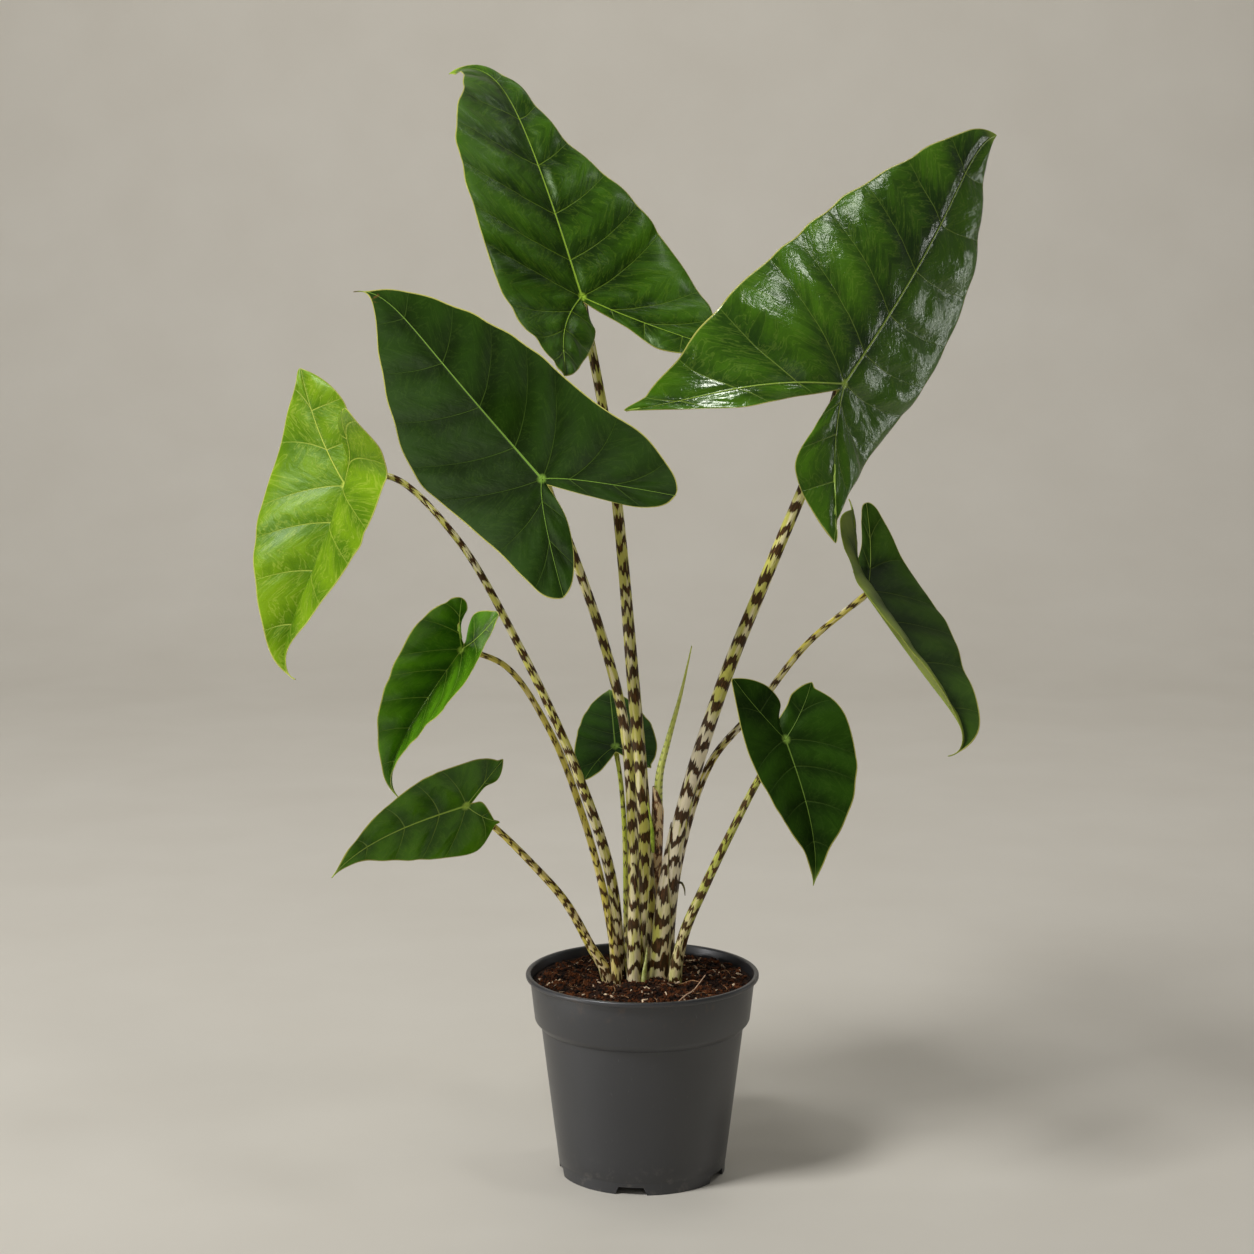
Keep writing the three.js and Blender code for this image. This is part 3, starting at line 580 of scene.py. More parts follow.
def bend(leaf, half, u, v, lift):
    """Where the flat points (u, v) of one half lie on the bent blade."""
    side = leaf[half]
    outward = 1 if half == "right" else -1
    x = np.clip(u / leaf["length"], 0, 1)
    back = np.minimum(u, 0)[..., None]
    _, up, right = midrib_frame(leaf, x)
    fold = np.radians(side["fold"] + side["curl"] * smooth(-u / side["lobe"][0]))[..., None]
    across = outward * np.cos(fold) * right + np.sin(fold) * up
    normal = np.cos(fold) * up - outward * np.sin(fold) * right
    cup = side["cup"] * v ** 2 / (CUP_SPAN * leaf["length"])
    return (midrib_points(leaf, x) + back * blade_frame(leaf)[0] + v[..., None] * across
            + (lift - cup)[..., None] * normal - up * side["drop"] * back ** 2 / leaf["length"])


tip = midrib_points(LEAVES["top"], np.array([1.0]))[0]
print("the highest leaf's tip, in mm:", tip.round(1))

# %% [markdown]
# ## The outline and the veins
# The margin of one half is a smooth curve through its half widths, round the lobe and back to the notch
# at the joint. From the midrib and from the rib of each lobe, side veins run out to that margin. Rows of
# points follow the veins, dense beside each vein and sparse between, so that the mesh itself has the
# veins' valleys and the swelling of the leaf between them.

# %% Outline rules
STATIONS, LOBE_STATIONS, SINUS_STATIONS = (0.93, 0.76, 0.52, 0.26, 0), (0.5, 0.85), (0.8, 0.4)
LOBE_RIB_BOW = (0.4, 0.58)
VEIN_BOW, VEIN_LEAN, VEIN_CROWDING, MARGIN_STEPS = 0.06, 0.55, 1.2, 400
SCRAMBLE = (127.1, 311.7, 74.7, 43758.5453)


def spline(points, t, lobe_at):
    """A smooth curve through 2-D points. A span's ends pull along the line between their neighbours;
    at the lobe's tip the pulls are as long as the span itself, which makes the tip round."""
    points = np.asarray(points, float)
    last = len(points) - 1
    padded = np.vstack([2 * points[0] - points[1], points, 2 * points[-1] - points[-2]])
    pull = (padded[2:] - padded[:-2]) / 2
    gaps = np.linalg.norm(np.diff(padded, axis=0), axis=1)
    tip = round(lobe_at * last)
    for k in (tip - 1, tip, tip + 1):
        pull[k] *= min(1, min(gaps[k], gaps[k + 1]) / np.linalg.norm(pull[k]))
    leave, arrive = pull[:-1].copy(), pull[1:].copy()
    for k in (tip - 1, tip):
        leave[k], arrive[k] = unit(pull[k:k + 2]) * gaps[k + 1]
    span = np.minimum((np.asarray(t) * last).astype(int), last - 1)
    f = (np.asarray(t) * last - span)[..., None]
    ease = f * f * (3 - 2 * f)
    return (lerp(points[span], points[span + 1], ease) + leave[span] * f * (1 - f) ** 2
            - arrive[span] * f * f * (1 - f))


def margin_points(leaf, side):
    """The outline's points from the tip round the lobe to the notch, and where the lobe's tip is."""
    back, out = side["lobe"]
    points = [(leaf["length"], 0)]
    points += [(leaf["length"] * k, width) for k, width in zip(STATIONS, side["widths"])]
    points += [(-back * k, width) for k, width in zip(LOBE_STATIONS, side["widths"][len(STATIONS):])]
    lobe_at = len(points)
    points += [(-back, out)]
    points += [(-lerp(leaf["sinus"], back, k), width) for k, width in zip(SINUS_STATIONS, side["inner"])]
    points += [(-leaf["sinus"], 0)]
    return points, lobe_at / (len(points) - 1)


def lobe_rib(side, f):
    """The rib from the joint to the lobe's tip, slightly bowed."""
    back, out = side["lobe"]
    bow_back, bow_out = side.get("bow", LOBE_RIB_BOW)
    f = np.asarray(f)
    bow = 2 * f * (1 - f)
    return np.stack([-bow * bow_back * back - f * f * back, bow * bow_out * out + f * f * out], axis=-1)


def fan_start(leaf):
    """The share of a half's veins that leave the midrib; the others leave the lobe's rib."""
    return leaf["veins"][0] / sum(leaf["veins"])


def spine_points(leaf, side, a):
    """Where the rows start; a runs from 0 at the tip to 1 at the lobe's tip."""
    start = fan_start(leaf)
    along = leaf["length"] * np.maximum(1 - a / start, 0) ** VEIN_CROWDING
    midrib = np.stack([along, np.zeros_like(a)], axis=-1)
    return np.where((a <= start)[:, None], midrib, lobe_rib(side, np.maximum(a - start, 0) / (1 - start)))


def margin_ends(leaf, side, a):
    """Where the rows end on the margin. Side veins lean towards the tip, all at much the same angle."""
    points, lobe_at = margin_points(leaf, side)
    t = np.linspace(0, lobe_at, MARGIN_STEPS)
    edge = spline(points, t, lobe_at)
    source = np.maximum.accumulate(VEIN_LEAN * edge[:, 1] - edge[:, 0])
    start = fan_start(leaf)
    on_midrib = np.interp(-spine_points(leaf, side, np.minimum(a, start))[:, 0], source, t)
    on_lobe = lerp(np.interp(0, source, t), lobe_at, np.clip((a - start) / (1 - start), 0, 1))
    return spline(points, np.where(a <= start, on_midrib, on_lobe), lobe_at)


def value_noise(x, y, seed):
    """Smooth random numbers from -1 to 1 over a plane, the same on every run."""
    def corner(i, j):
        scrambled = np.sin(i * SCRAMBLE[0] + j * SCRAMBLE[1] + seed * SCRAMBLE[2]) * SCRAMBLE[3]
        return 2 * (scrambled - np.floor(scrambled)) - 1

    i, j = np.floor(x), np.floor(y)
    s, t = smooth(x - i), smooth(y - j)
    return lerp(lerp(corner(i, j), corner(i + 1, j), s), lerp(corner(i, j + 1), corner(i + 1, j + 1), s), t)


print("share of the highest leaf's veins on its midrib:", round(fan_start(LEAVES["top"]), 2))

# %% [markdown]
# ## Rows of points
# The rows' places between two veins and the distances from a rib are listed: a few tenths of a millimetre apart where
# a vein is, and far apart where the blade is smooth.

# %% Rows of one half
VEIN_ROWS = np.array([0, 0.02, 0.05, 0.09, 0.14, 0.2, 0.27, 0.34, 0.42, 0.5, 0.58, 0.66, 0.73, 0.8, 0.86,
                      0.91, 0.95, 0.98])
NEAR_RIB = np.array([0, 0.6, 1.2, 2.0, 3.4])
NEAR_RIB_SHARE = np.array([0, 0.02, 0.04, 0.07, 0.11])
NEAR_MARGIN, NEAR_MARGIN_SHARE = 1.2, 0.04
LEVELS_PER_MM, FEWEST_LEVELS = 0.27, 12
VEIN_HALF, VEIN_VALLEY, VEIN_RIDGE = 1.1, 0.16, 0.65
RIB_TAPER, RIB_TAPER_POWER = 0.8, 0.7
MIDRIB_HALF, RIB_END_HALF, LOBE_RIB_END_HALF = 1.1, 0.34, 0.14
CUSHION_MM, FLAT_BY_RIB, CHEVRON_LEAN = 7.0, 9.0, 0.9
BROAD_MM, WRINKLE_MM, CRUMPLE_MM = 34, 13, 5
BROAD_LIFT, WRINKLE_LIFT = 0.9, 0.42
BROAD_WAVE, WRINKLE_WAVES, RUFFLE_WAVES, RUFFLE_DRIFT = 0.9, (2.1, 5), (1.3, 3.1), 0.5
SCALLOP, SCALLOP_MIDDLE, RUFFLE_FROM = 0.5, 0.6, 14.0
THICKEST_RIB = 2.6


def row_places(leaf):
    """The rows of a half, a from 0 to 1, with one row exactly on each vein."""
    veins = sum(leaf["veins"])
    rows = (np.arange(veins)[:, None] + VEIN_ROWS).ravel() / veins
    return np.append(rows, 1.0)


def levels(leaf, reach):
    """Shares along each row from the rib to the margin, for rows of the given lengths in mm."""
    middle_levels = max(round(LEVELS_PER_MM * max(leaf["right"]["widths"])), FEWEST_LEVELS)
    reach = np.maximum(reach, 1e-3)[:, None]
    near = np.minimum(NEAR_RIB / reach, NEAR_RIB_SHARE)
    last = 1 - np.minimum(NEAR_MARGIN / reach, NEAR_MARGIN_SHARE)
    middle = lerp(near[:, -1:], last, np.linspace(0, 1, middle_levels + 1)[1:])
    return np.hstack([near, middle, np.ones_like(last)])


def relief(leaf, half, ray, w, out_mm, vein_mm):
    """How far the blade swells and crumples off its smooth form, in mm."""
    seed = leaf["length"] + (40 if half == "left" else 0)
    inside = np.sqrt(np.clip(np.sin(np.pi * w), 0, 1)) * smooth(out_mm / FLAT_BY_RIB)
    cushion = inside * (1 - np.exp(-(vein_mm / CUSHION_MM) ** 2))
    chevron = out_mm - CHEVRON_LEAN * vein_mm
    broad = value_noise(ray * BROAD_WAVE, out_mm / BROAD_MM, seed)
    wrinkle = value_noise(chevron / WRINKLE_MM, ray * WRINKLE_WAVES[0], seed + 1)
    wrinkle = wrinkle + 0.4 * value_noise(chevron / CRUMPLE_MM, ray * WRINKLE_WAVES[1], seed + 2)
    slow, quick = (value_noise(ray * wave, w * RUFFLE_DRIFT, seed + 3 + k)
                   for k, wave in enumerate(RUFFLE_WAVES))
    ruffle = slow + 0.5 * quick
    calm_tips = smooth(out_mm[:, -1:] / RUFFLE_FROM)
    swelling = cushion + (BROAD_LIFT * broad + WRINKLE_LIFT * wrinkle) * inside
    return leaf["quilt"] * swelling + leaf["wave"] * w ** 3 * ruffle * calm_tips


def half_rows(leaf, half):
    """The two fans of one half as arrays: outer rows, then the rows between lobe rib and notch."""
    side = leaf[half]
    points, lobe_at = margin_points(leaf, side)
    start = fan_start(leaf)
    a = row_places(leaf)
    outer = (a, spine_points(leaf, side, a), margin_ends(leaf, side, a), VEIN_BOW)
    b_rows = a[a >= start - 1e-9]
    b = (b_rows - start) / (1 - start)
    inner = (b_rows, lobe_rib(side, b), spline(points, lerp(1, lobe_at, b), lobe_at), 0.0)
    return [fan(leaf, half, *outer), fan(leaf, half, *inner)]


def fan(leaf, half, a, spine, margin, bow):
    """One fan of rows, bent into place, with what the material and the ribs need to know."""
    start, veins = fan_start(leaf), sum(leaf["veins"])
    heading = unit(margin - spine)
    ends = smooth(a * veins) * smooth((1 - a) * veins)
    scallop = SCALLOP * leaf["wave"] * ends * (np.sin(np.pi * veins * a) ** 2 - SCALLOP_MIDDLE)
    margin = margin + heading * np.where(bow > 0, scallop, 0)[:, None]
    reach = np.linalg.norm(margin - spine, axis=1)
    w = levels(leaf, reach)
    u = lerp(spine[:, :1], margin[:, :1], w) - bow * 4 * w * (1 - w) * reach[:, None]
    v = lerp(spine[:, 1:], margin[:, 1:], w)
    ray = (veins * a)[:, None] * np.ones_like(w)
    step = np.gradient(np.stack([u, v], -1), veins * a, axis=0)
    heading = heading[:, None, :]
    spread = np.abs(heading[..., 0] * step[..., 1] - heading[..., 1] * step[..., 0])
    vein_mm = np.abs(ray - np.round(ray)) * spread
    out_mm = w * reach[:, None]
    spine_step = unit(np.gradient(spine, axis=0))[:, None, :]
    off = np.stack([u, v], -1) - spine[:, None, :]
    rib_mm = np.abs(off[..., 0] * spine_step[..., 1] - off[..., 1] * spine_step[..., 0])
    share = np.where(a <= start, 1 - a / start, (a - start) / (1 - start)) ** RIB_TAPER_POWER
    depth = leaf["rib"] * np.maximum(1 - RIB_TAPER * share, 0)
    thickest = np.where(a <= start, MIDRIB_HALF, leaf["lobe_line"]) * math.sqrt(leaf["rib"] / THICKEST_RIB)
    half_width = lerp(thickest, np.where(a <= start, RIB_END_HALF, LOBE_RIB_END_HALF), share)
    everywhere = np.ones_like(w)
    return dict(
        points=bend(leaf, half, u, v, relief(leaf, half, ray, w, out_mm, vein_mm)), ray=ray,
        spread=spread, signed=w if half == "right" else -w, rib_mm=rib_mm, out_mm=out_mm,
        rib_half=half_width[:, None] * everywhere, rib_depth=depth[:, None] * everywhere,
        edge_mm=(1 - w) * reach[:, None], tip_mm=leaf["length"] - u, joint_mm=np.hypot(u, v))


sample = half_rows(LEAVES["top"], "right")
print("rows and levels in the highest leaf's half:", [f["points"].shape[:2] for f in sample])

# %% [markdown]
# ## From rows to a blade
# The four fans are joined where they share a rib, and the sheet gets a thickness that thins towards a
# rounded margin. The ribs and veins stand out underneath, where the real ones carry the blade, and on
# the upper face they lie in shallow valleys.

# %% Blade mesh
WELD = 0.02
HALF_THICK, HALF_THIN, THIN_WITHIN, RIM_ROUND = 0.34, 0.16, 7.0, 0.14
KNOT_REACH, GROOVE_WIDTH, GROOVE_DEPTH, KEEL_WIDTH, QUILT_LIMIT = 5.0, 1.3, 0.35, 2.4, 1.2
FIELDS = ("ray", "spread", "signed", "rib_mm", "out_mm", "rib_half", "rib_depth", "edge_mm", "tip_mm",
          "joint_mm")


def sheet_of(leaf):
    """The middle sheet: welded points, triangles and one value per point for each field."""
    points, triangles, fields, count = [], [], {key: [] for key in FIELDS}, 0
    for half in ("right", "left"):
        for sector, rows in enumerate(half_rows(leaf, half)):
            high, wide = rows["points"].shape[:2]
            points.append(rows["points"].reshape(-1, 3))
            for key in FIELDS:
                fields[key].append(rows[key].ravel())
            index = count + np.arange(high * wide).reshape(high, wide)
            a, b, c, d = index[:-1, :-1], index[:-1, 1:], index[1:, 1:], index[1:, :-1]
            faces = np.concatenate([np.stack([a, b, c], -1), np.stack([a, c, d], -1)]).reshape(-1, 3)
            flip = (half == "right") != (sector == 1)
            triangles.append(faces[:, ::-1] if flip else faces)
            count += high * wide
    points = np.concatenate(points)
    _, first, welded = np.unique(np.round(points / WELD), axis=0, return_index=True, return_inverse=True)
    triangles = welded.ravel()[np.concatenate(triangles)]
    a, b, c = triangles.T
    triangles = triangles[(a != b) & (b != c) & (a != c)]
    return points[first], triangles, {key: np.concatenate(fields[key])[first] for key in FIELDS}


def point_normals(points, triangles):
    a, b, c = (points[triangles[:, i]] for i in range(3))
    face = np.cross(b - a, c - a)
    normals = np.zeros_like(points)
    for corner in range(3):
        np.add.at(normals, triangles[:, corner], face)
    return unit(normals)


def open_edges(triangles, count):
    """Edges that only one triangle uses, in that triangle's direction."""
    edges = np.concatenate([triangles[:, [0, 1]], triangles[:, [1, 2]], triangles[:, [2, 0]]])
    key = edges[:, 0] * count + edges[:, 1]
    return edges[~np.isin(edges[:, 1] * count + edges[:, 0], key)]


def hump(distance):
    """1 at no distance, falling smoothly to 0 at a distance of 1."""
    return np.cos(np.pi / 2 * np.clip(distance, 0, 1)) ** 2


def blade_mesh(leaf):
    """A blade with its thickness, ribs and rounded margin, and its material's attributes."""
    points, triangles, f = sheet_of(leaf)
    normals = point_normals(points, triangles)
    count = len(points)
    vein_mm = np.abs(f["ray"] - np.round(f["ray"])) * f["spread"]
    near_vein = hump(vein_mm / VEIN_HALF)
    fade = np.sqrt(np.clip(1 - np.abs(f["signed"]), 0, 1))
    groove = hump(f["rib_mm"] / (f["rib_half"] * GROOVE_WIDTH))
    keel = hump(f["rib_mm"] / (f["rib_half"] * KEEL_WIDTH))
    knot = leaf["rib"] * np.exp(-(f["joint_mm"] / KNOT_REACH) ** 2)
    half = lerp(HALF_THIN, HALF_THICK, smooth(f["edge_mm"] / THIN_WITHIN))
    valley = VEIN_VALLEY * min(leaf["quilt"], QUILT_LIMIT)
    above = half + GROOVE_DEPTH * groove * np.minimum(f["rib_depth"], 1) - valley * near_vein * fade
    below = half + np.maximum.reduce([f["rib_depth"] * keel, knot, VEIN_RIDGE * near_vein * fade])
    rim = open_edges(triangles, count)
    outward = np.zeros_like(points)
    lean = np.cross(points[rim[:, 1]] - points[rim[:, 0]], normals[rim[:, 0]] + normals[rim[:, 1]])
    for corner in range(2):
        np.add.at(outward, rim[:, corner], lean)
    rim_ids, place = np.unique(rim, return_inverse=True)
    place = place.reshape(rim.shape) + 2 * count
    upper = points + normals * above[:, None]
    lower = points - normals * below[:, None]
    edge = points[rim_ids] + unit(outward[rim_ids]) * RIM_ROUND
    a, b = rim.T
    rim_a, rim_b = place.T
    strips = [(b, a, rim_a), (b, rim_a, rim_b), (rim_b, rim_a, a + count), (rim_b, a + count, b + count)]
    faces = np.concatenate([triangles, triangles[:, ::-1] + count, *(np.stack(s, -1) for s in strips)])
    everywhere = np.concatenate([np.arange(count), np.arange(count), rim_ids])
    under = np.concatenate([np.zeros(count), np.ones(count), np.full(len(rim_ids), 0.5)])
    pick = {key: f[key][everywhere] for key in FIELDS}
    attributes = {
        "vein_lines": np.stack([pick["rib_mm"] / pick["rib_half"], pick["ray"], pick["spread"]], -1),
        "blade_place": np.stack([pick["signed"], pick["edge_mm"], pick["tip_mm"]], -1),
        "blade_side": np.stack([under, pick["joint_mm"], pick["out_mm"]], -1),
    }
    return np.concatenate([upper, lower, edge]), faces.tolist(), attributes


points, faces, _ = blade_mesh(LEAVES["top"])
print("points and faces in the highest leaf:", len(points), len(faces))

# %% [markdown]
# ## Leaf skin
# A blade's green is not one colour: it is deeper beside the ribs and in the veins' valleys, which is painted shade,
# and lighter where the leaf swells between veins, which is painted light. It is crossed by fine feathered streaks that
# run with the side veins. Ribs, veins and a thread along the margin are pale yellow-green. The underside is paler and
# dull. Vein lines are worked out from the distance in millimetres, so they stay sharp however coarse the mesh is. Each
# skin is one row of a table. Of its extras, dry scorches the tip, and two are painted light on one half: one as light
# falling on it, strongest towards the margin, the other as a plain lightening.

# %% Leaf material
WOBBLES, CLOUDS, GRAINS, CRINKLES, SPOTS = 260, 21, 900, 105, 210
VEIN_LINE, VEIN_THINS, VALLEY_MM = 0.52, 0.26, (0.5, 5.0)
RIB_EDGE, BESIDE_RIB, KNOT_MM, MARGIN_MM = (0.72, 1.12), (1.0, 7.0), (1.6, 4.6), (0.3, 0.8)
# The second size on the next line and the second colour pair after it set the painted light on one half.
TIP_MM, PAINTED_LIGHT_MM, DRY_MM, SCORCHED_MM = (4.0, 14.0), (0.0, 26.0), (14.0, 36.0), (2.5, 6.0)
MARGIN_COLOUR, PAINTED_LIGHT_COLOURS, DRY_COLOURS = "bcb85e", ("4a6616", "8ea038"), ("6f4c28", "5d3d20")


def blade_material(name, colours, gloss, lines, feather, dry=0.0, painted_light_half=0.0, painted_light_lift=0.0,
                   sheen=(0.72, 1.0, 0.5, 1.0)):
    """A leaf's skin. Its colours are the body's deep and light green, the ribs and the underside."""
    deep, light, rib, under = (colour(code) for code in colours)
    (roughness, shine, coat), (line, cross) = gloss, lines
    shader = Shader(name)
    rib_rel, ray, spread = shader.attribute("vein_lines")
    signed, edge_mm, tip_mm = shader.attribute("blade_place")
    below, joint_mm, out_mm = shader.attribute("blade_side")
    across = abs(signed)
    place = shader.place()
    wobble = shader.noise(place, WOBBLES, 2)
    cloud = shader.noise(place, CLOUDS, 3, 0.55)
    grain = shader.noise(place, GRAINS, 2, 0.6)
    crinkle = shader.noise(place, CRINKLES, 3, 0.6, 0.6)
    off_vein = abs(ray - round(ray))
    vein_mm = off_vein * spread
    vein_half = VEIN_LINE - VEIN_THINS * across + (wobble - 0.5) * 0.3
    vein = (1 - shader.step(vein_mm, vein_half * 0.4, vein_half * 1.3)) * (1 - across * 0.6)
    valley = (1 - shader.step(vein_mm, *VALLEY_MM)) * (1 - across * 0.5)
    main_rib = 1 - shader.step(rib_rel + (wobble - 0.5) * 0.2, *RIB_EDGE)
    # The band beside the ribs is where painted shade goes.
    painted_shade_by_rib = 1 - shader.step(rib_rel, *BESIDE_RIB)
    knot = 1 - shader.step(joint_mm, *KNOT_MM)
    margin = 1 - shader.step(edge_mm + (wobble - 0.5) * 0.3, *MARGIN_MM)
    patch = shader.math("FLOOR", ray) * 5.3 + shader.math("SIGN", signed) * 3.1
    chevron = (out_mm - vein_mm * CHEVRON_LEAN) * 0.16
    net = shader.noise(shader.vector(chevron, off_vein * 2.4, patch), 1.0, 3, 0.55, 0.35)
    thread = shader.noise(shader.vector(chevron * 2.6, off_vein * 5, patch), 1.2, 3, 0.6, 0.4)
    net_line = 1 - shader.step(abs(net - 0.5), 0.004, 0.03)
    # Tone is the leaf's own random mottling and feathering, plus painted light: the step away from the veins lightens
    # the swelling between them.
    tone_and_painted_light = (cloud * 0.9 + shader.step(off_vein, 0.0, 0.45) * 0.2 + across * 0.2 + (net - 0.5) * 0.5 * feather
            + (thread - 0.5) * 0.22 * feather + grain * 0.12)
    body = shader.mix(shader.step(tone_and_painted_light, 0.42, 1.08), deep, light)
    # Painted light: one half is made lighter all over.
    if painted_light_lift:
        body = shader.mix(shader.step(signed, -0.05, 0.2) * painted_light_lift, body, light)
    # Painted shade: the green deepens in the veins' valleys and beside the ribs.
    body = shader.mix(shader.most(valley * 0.12, painted_shade_by_rib * 0.2), body, deep)
    drawn = shader.most(shader.most(vein * line, net_line * cross), shader.most(main_rib * 0.9, knot))
    top = shader.mix(drawn, body, rib)
    low_body = shader.mix(tone_and_painted_light * 0.45, under, light)
    low = shader.mix(shader.most(shader.most(vein * 0.7, net_line * 0.3), main_rib), low_body, rib)
    base = shader.mix(shader.step(below, 0.45, 0.55), top, low)
    base = shader.mix(margin * 0.85, base, colour(MARGIN_COLOUR))
    base = shader.mix((1 - shader.step(tip_mm + (cloud - 0.5) * 8, *TIP_MM)) * 0.6, base, rib)
    # Painted light: light falling on one half, in paler greens, strongest towards its margin.
    if painted_light_half:
        towards_edge = 1 - shader.step(edge_mm, *PAINTED_LIGHT_MM) * 0.65
        pale = shader.mix(shader.step(tone_and_painted_light, 0.4, 1.0), *map(colour, PAINTED_LIGHT_COLOURS))
        base = shader.mix(shader.step(signed, 0.0, 0.05) * towards_edge * (1 - below) * painted_light_half, base, pale)
    if dry:
        spot = shader.step(shader.noise(place, SPOTS, 2, 0.6), 0.58, 0.66)
        spot = spot * (1 - shader.step(tip_mm, *DRY_MM))
        base = shader.mix(spot * dry, base, colour(DRY_COLOURS[0]))
        scorched = 1 - shader.step(tip_mm + (wobble - 0.5) * 6, *SCORCHED_MM)
        base = shader.mix(scorched * dry, base, colour(DRY_COLOURS[1]))
    relief = (net * 0.5 + thread * 0.15) * feather + crinkle * (0.35 + shine) + grain * 0.05 - vein * 0.3
    rough = roughness + (net - 0.5) * 0.1 + (cloud - 0.5) * 0.08 + drawn * 0.08
    return shader.finish(
        Base_Color=base, Roughness=shader.most(rough, below * 0.55),
        Coat_Weight=(1 - below) * (1 - drawn * 0.8) * coat, Coat_Roughness=0.13,
        Specular_IOR_Level=shine, Specular_Tint=sheen, Normal=shader.bump(relief, 0.001, 0.7))


# For each skin: its colours, its (roughness, shine, coat), how far veins and net show, its feathering.
# Some rows go on: dry, painted light on one half, a painted lightening of one half, and the sheen's tint.
SKIN_ROWS = {
    "satin": (("162c03", "3f670c", "9cc038", "66803f"), (0.34, 0.2, 0.05), (0.3, 0.08), 0.9),
    "dark": (("0f1d03", "233d09", "75983a", "55693a"), (0.46, 0.08, 0.0), (0.2, 0.04), 0.35, 0.8),
    "shaded": (("142706", "2d4e0e", "74923c", "5a7040"), (0.44, 0.1, 0.0), (0.14, 0.04), 0.5),
    # The glossy row lightens one half with painted light.
    "glossy": (("1f3b08", "4a760d", "a9c84f", "76924c"), (0.17, 0.48, 0.04), (0.4, 0.1), 0.9,
               0.0, 0.0, 0.6, (0.95, 1.0, 0.86, 1.0)),
    "small": (("264c08", "568c10", "a9c84f", "647f42"), (0.25, 0.3, 0.12), (0.35, 0.06), 0.5),
    # The hanging row paints light falling on one half.
    "hanging": (("182a05", "365212", "8ca044", "98a250"), (0.42, 0.1, 0.0), (0.22, 0.04), 0.5, 0.0, 0.85),
    "lime": (("4a7006", "7ca012", "c8d45a", "94ad50"), (0.36, 0.2, 0.05), (0.65, 0.2), 0.9),
}
SKINS = {name: blade_material(f"leaf_{name}", *row) for name, row in SKIN_ROWS.items()}
BLADE_LOOKS = dict(top=("blade_satin", "satin"), back=("blade_satin", "shaded"),
                   heart=("blade_satin", "shaded"), hanging=("blade_satin", "hanging"),
                   dark=("blade_dark", "dark"), glossy=("blade_glossy", "glossy"),
                   small_left=("blade_glossy", "small"), low_left=("blade_glossy", "small"),
                   lime=("blade_lime", "lime"))
print("leaf skins:", ", ".join(SKINS))

# %% The nine blades
for name, leaf in LEAVES.items():
    points, faces, attributes = blade_mesh(leaf)
    slot, skin = BLADE_LOOKS[name]
    blade = make_mesh(f"leaf_{name}", points, faces, SKINS[skin], attributes)
    hand_over(blade, slot, f"blade_{name}")

# %% [markdown]
# ## Stalk paths
# A stalk follows a smooth curve through a few given points, from its root in the soil to the underside of its blade.
# The curve is the centripetal kind, which never loops between irregularly spaced points, and it is measured so that
# steps along it are even.

# %% Paths
ROOT_HEIGHT = 115.5
SOIL_TOP = 143.0
KNOT_SHARE = 0.85
CURVE_STEPS, FEWEST_STEPS = 60, 4


def path_points(controls, step):
    """Even points along a centripetal Catmull-Rom curve, about a step apart."""
    controls = np.asarray(controls, float)
    padded = np.vstack([2 * controls[0] - controls[1], controls, 2 * controls[-1] - controls[-2]])
    f = np.linspace(0, 1, CURVE_STEPS, endpoint=False)[:, None]
    pieces = []
    for i in range(len(controls) - 1):
        p = padded[i:i + 4]
        t0, t1, t2 = (np.sum((p[k + 1] - p[k]) ** 2) ** 0.25 for k in range(3))
        m1 = ((p[1] - p[0]) / t0 - (p[2] - p[0]) / (t0 + t1) + (p[2] - p[1]) / t1) * t1
        m2 = ((p[2] - p[1]) / t1 - (p[3] - p[1]) / (t1 + t2) + (p[3] - p[2]) / t2) * t1
        pieces.append(p[1] + m1 * f + (-3 * p[1] + 3 * p[2] - 2 * m1 - m2) * f ** 2
                      + (2 * p[1] - 2 * p[2] + m1 + m2) * f ** 3)
    line = np.vstack([*pieces, controls[-1:]])
    length = np.append(0, np.cumsum(np.linalg.norm(np.diff(line, axis=0), axis=1)))
    even = np.linspace(0, length[-1], max(round(length[-1] / step), FEWEST_STEPS) + 1)
    return np.stack([np.interp(even, length, line[:, axis]) for axis in range(3)], -1), even


def stalk_path(leaf, step):
    """The stalk's centreline from its root to the knot under its blade."""
    up = blade_frame(leaf)[1]
    first = leaf["stalk"][0]
    end = np.array(leaf["joint"]) - up * (HALF_THICK + KNOT_SHARE * leaf["rib"])
    return path_points([(first[0], first[1], ROOT_HEIGHT), *leaf["stalk"], end], step)


line, reach = stalk_path(LEAVES["glossy"], 3)
print("the glossy leaf's stalk is", round(reach[-1]), "mm long")

# %% [markdown]
# ## Sweeping stalks with Geometry Nodes
# A stalk is a round section carried along a path, which is just what Curve to Mesh does. The path comes
# in as a bare line of points, each with its own radius. Besides the section's size, the tree stores on
# the circle where each point is on it: the bands' material reads that, and it has no seam. A small class
# makes a tree with named inputs, adds its nodes, and runs it on a piece.

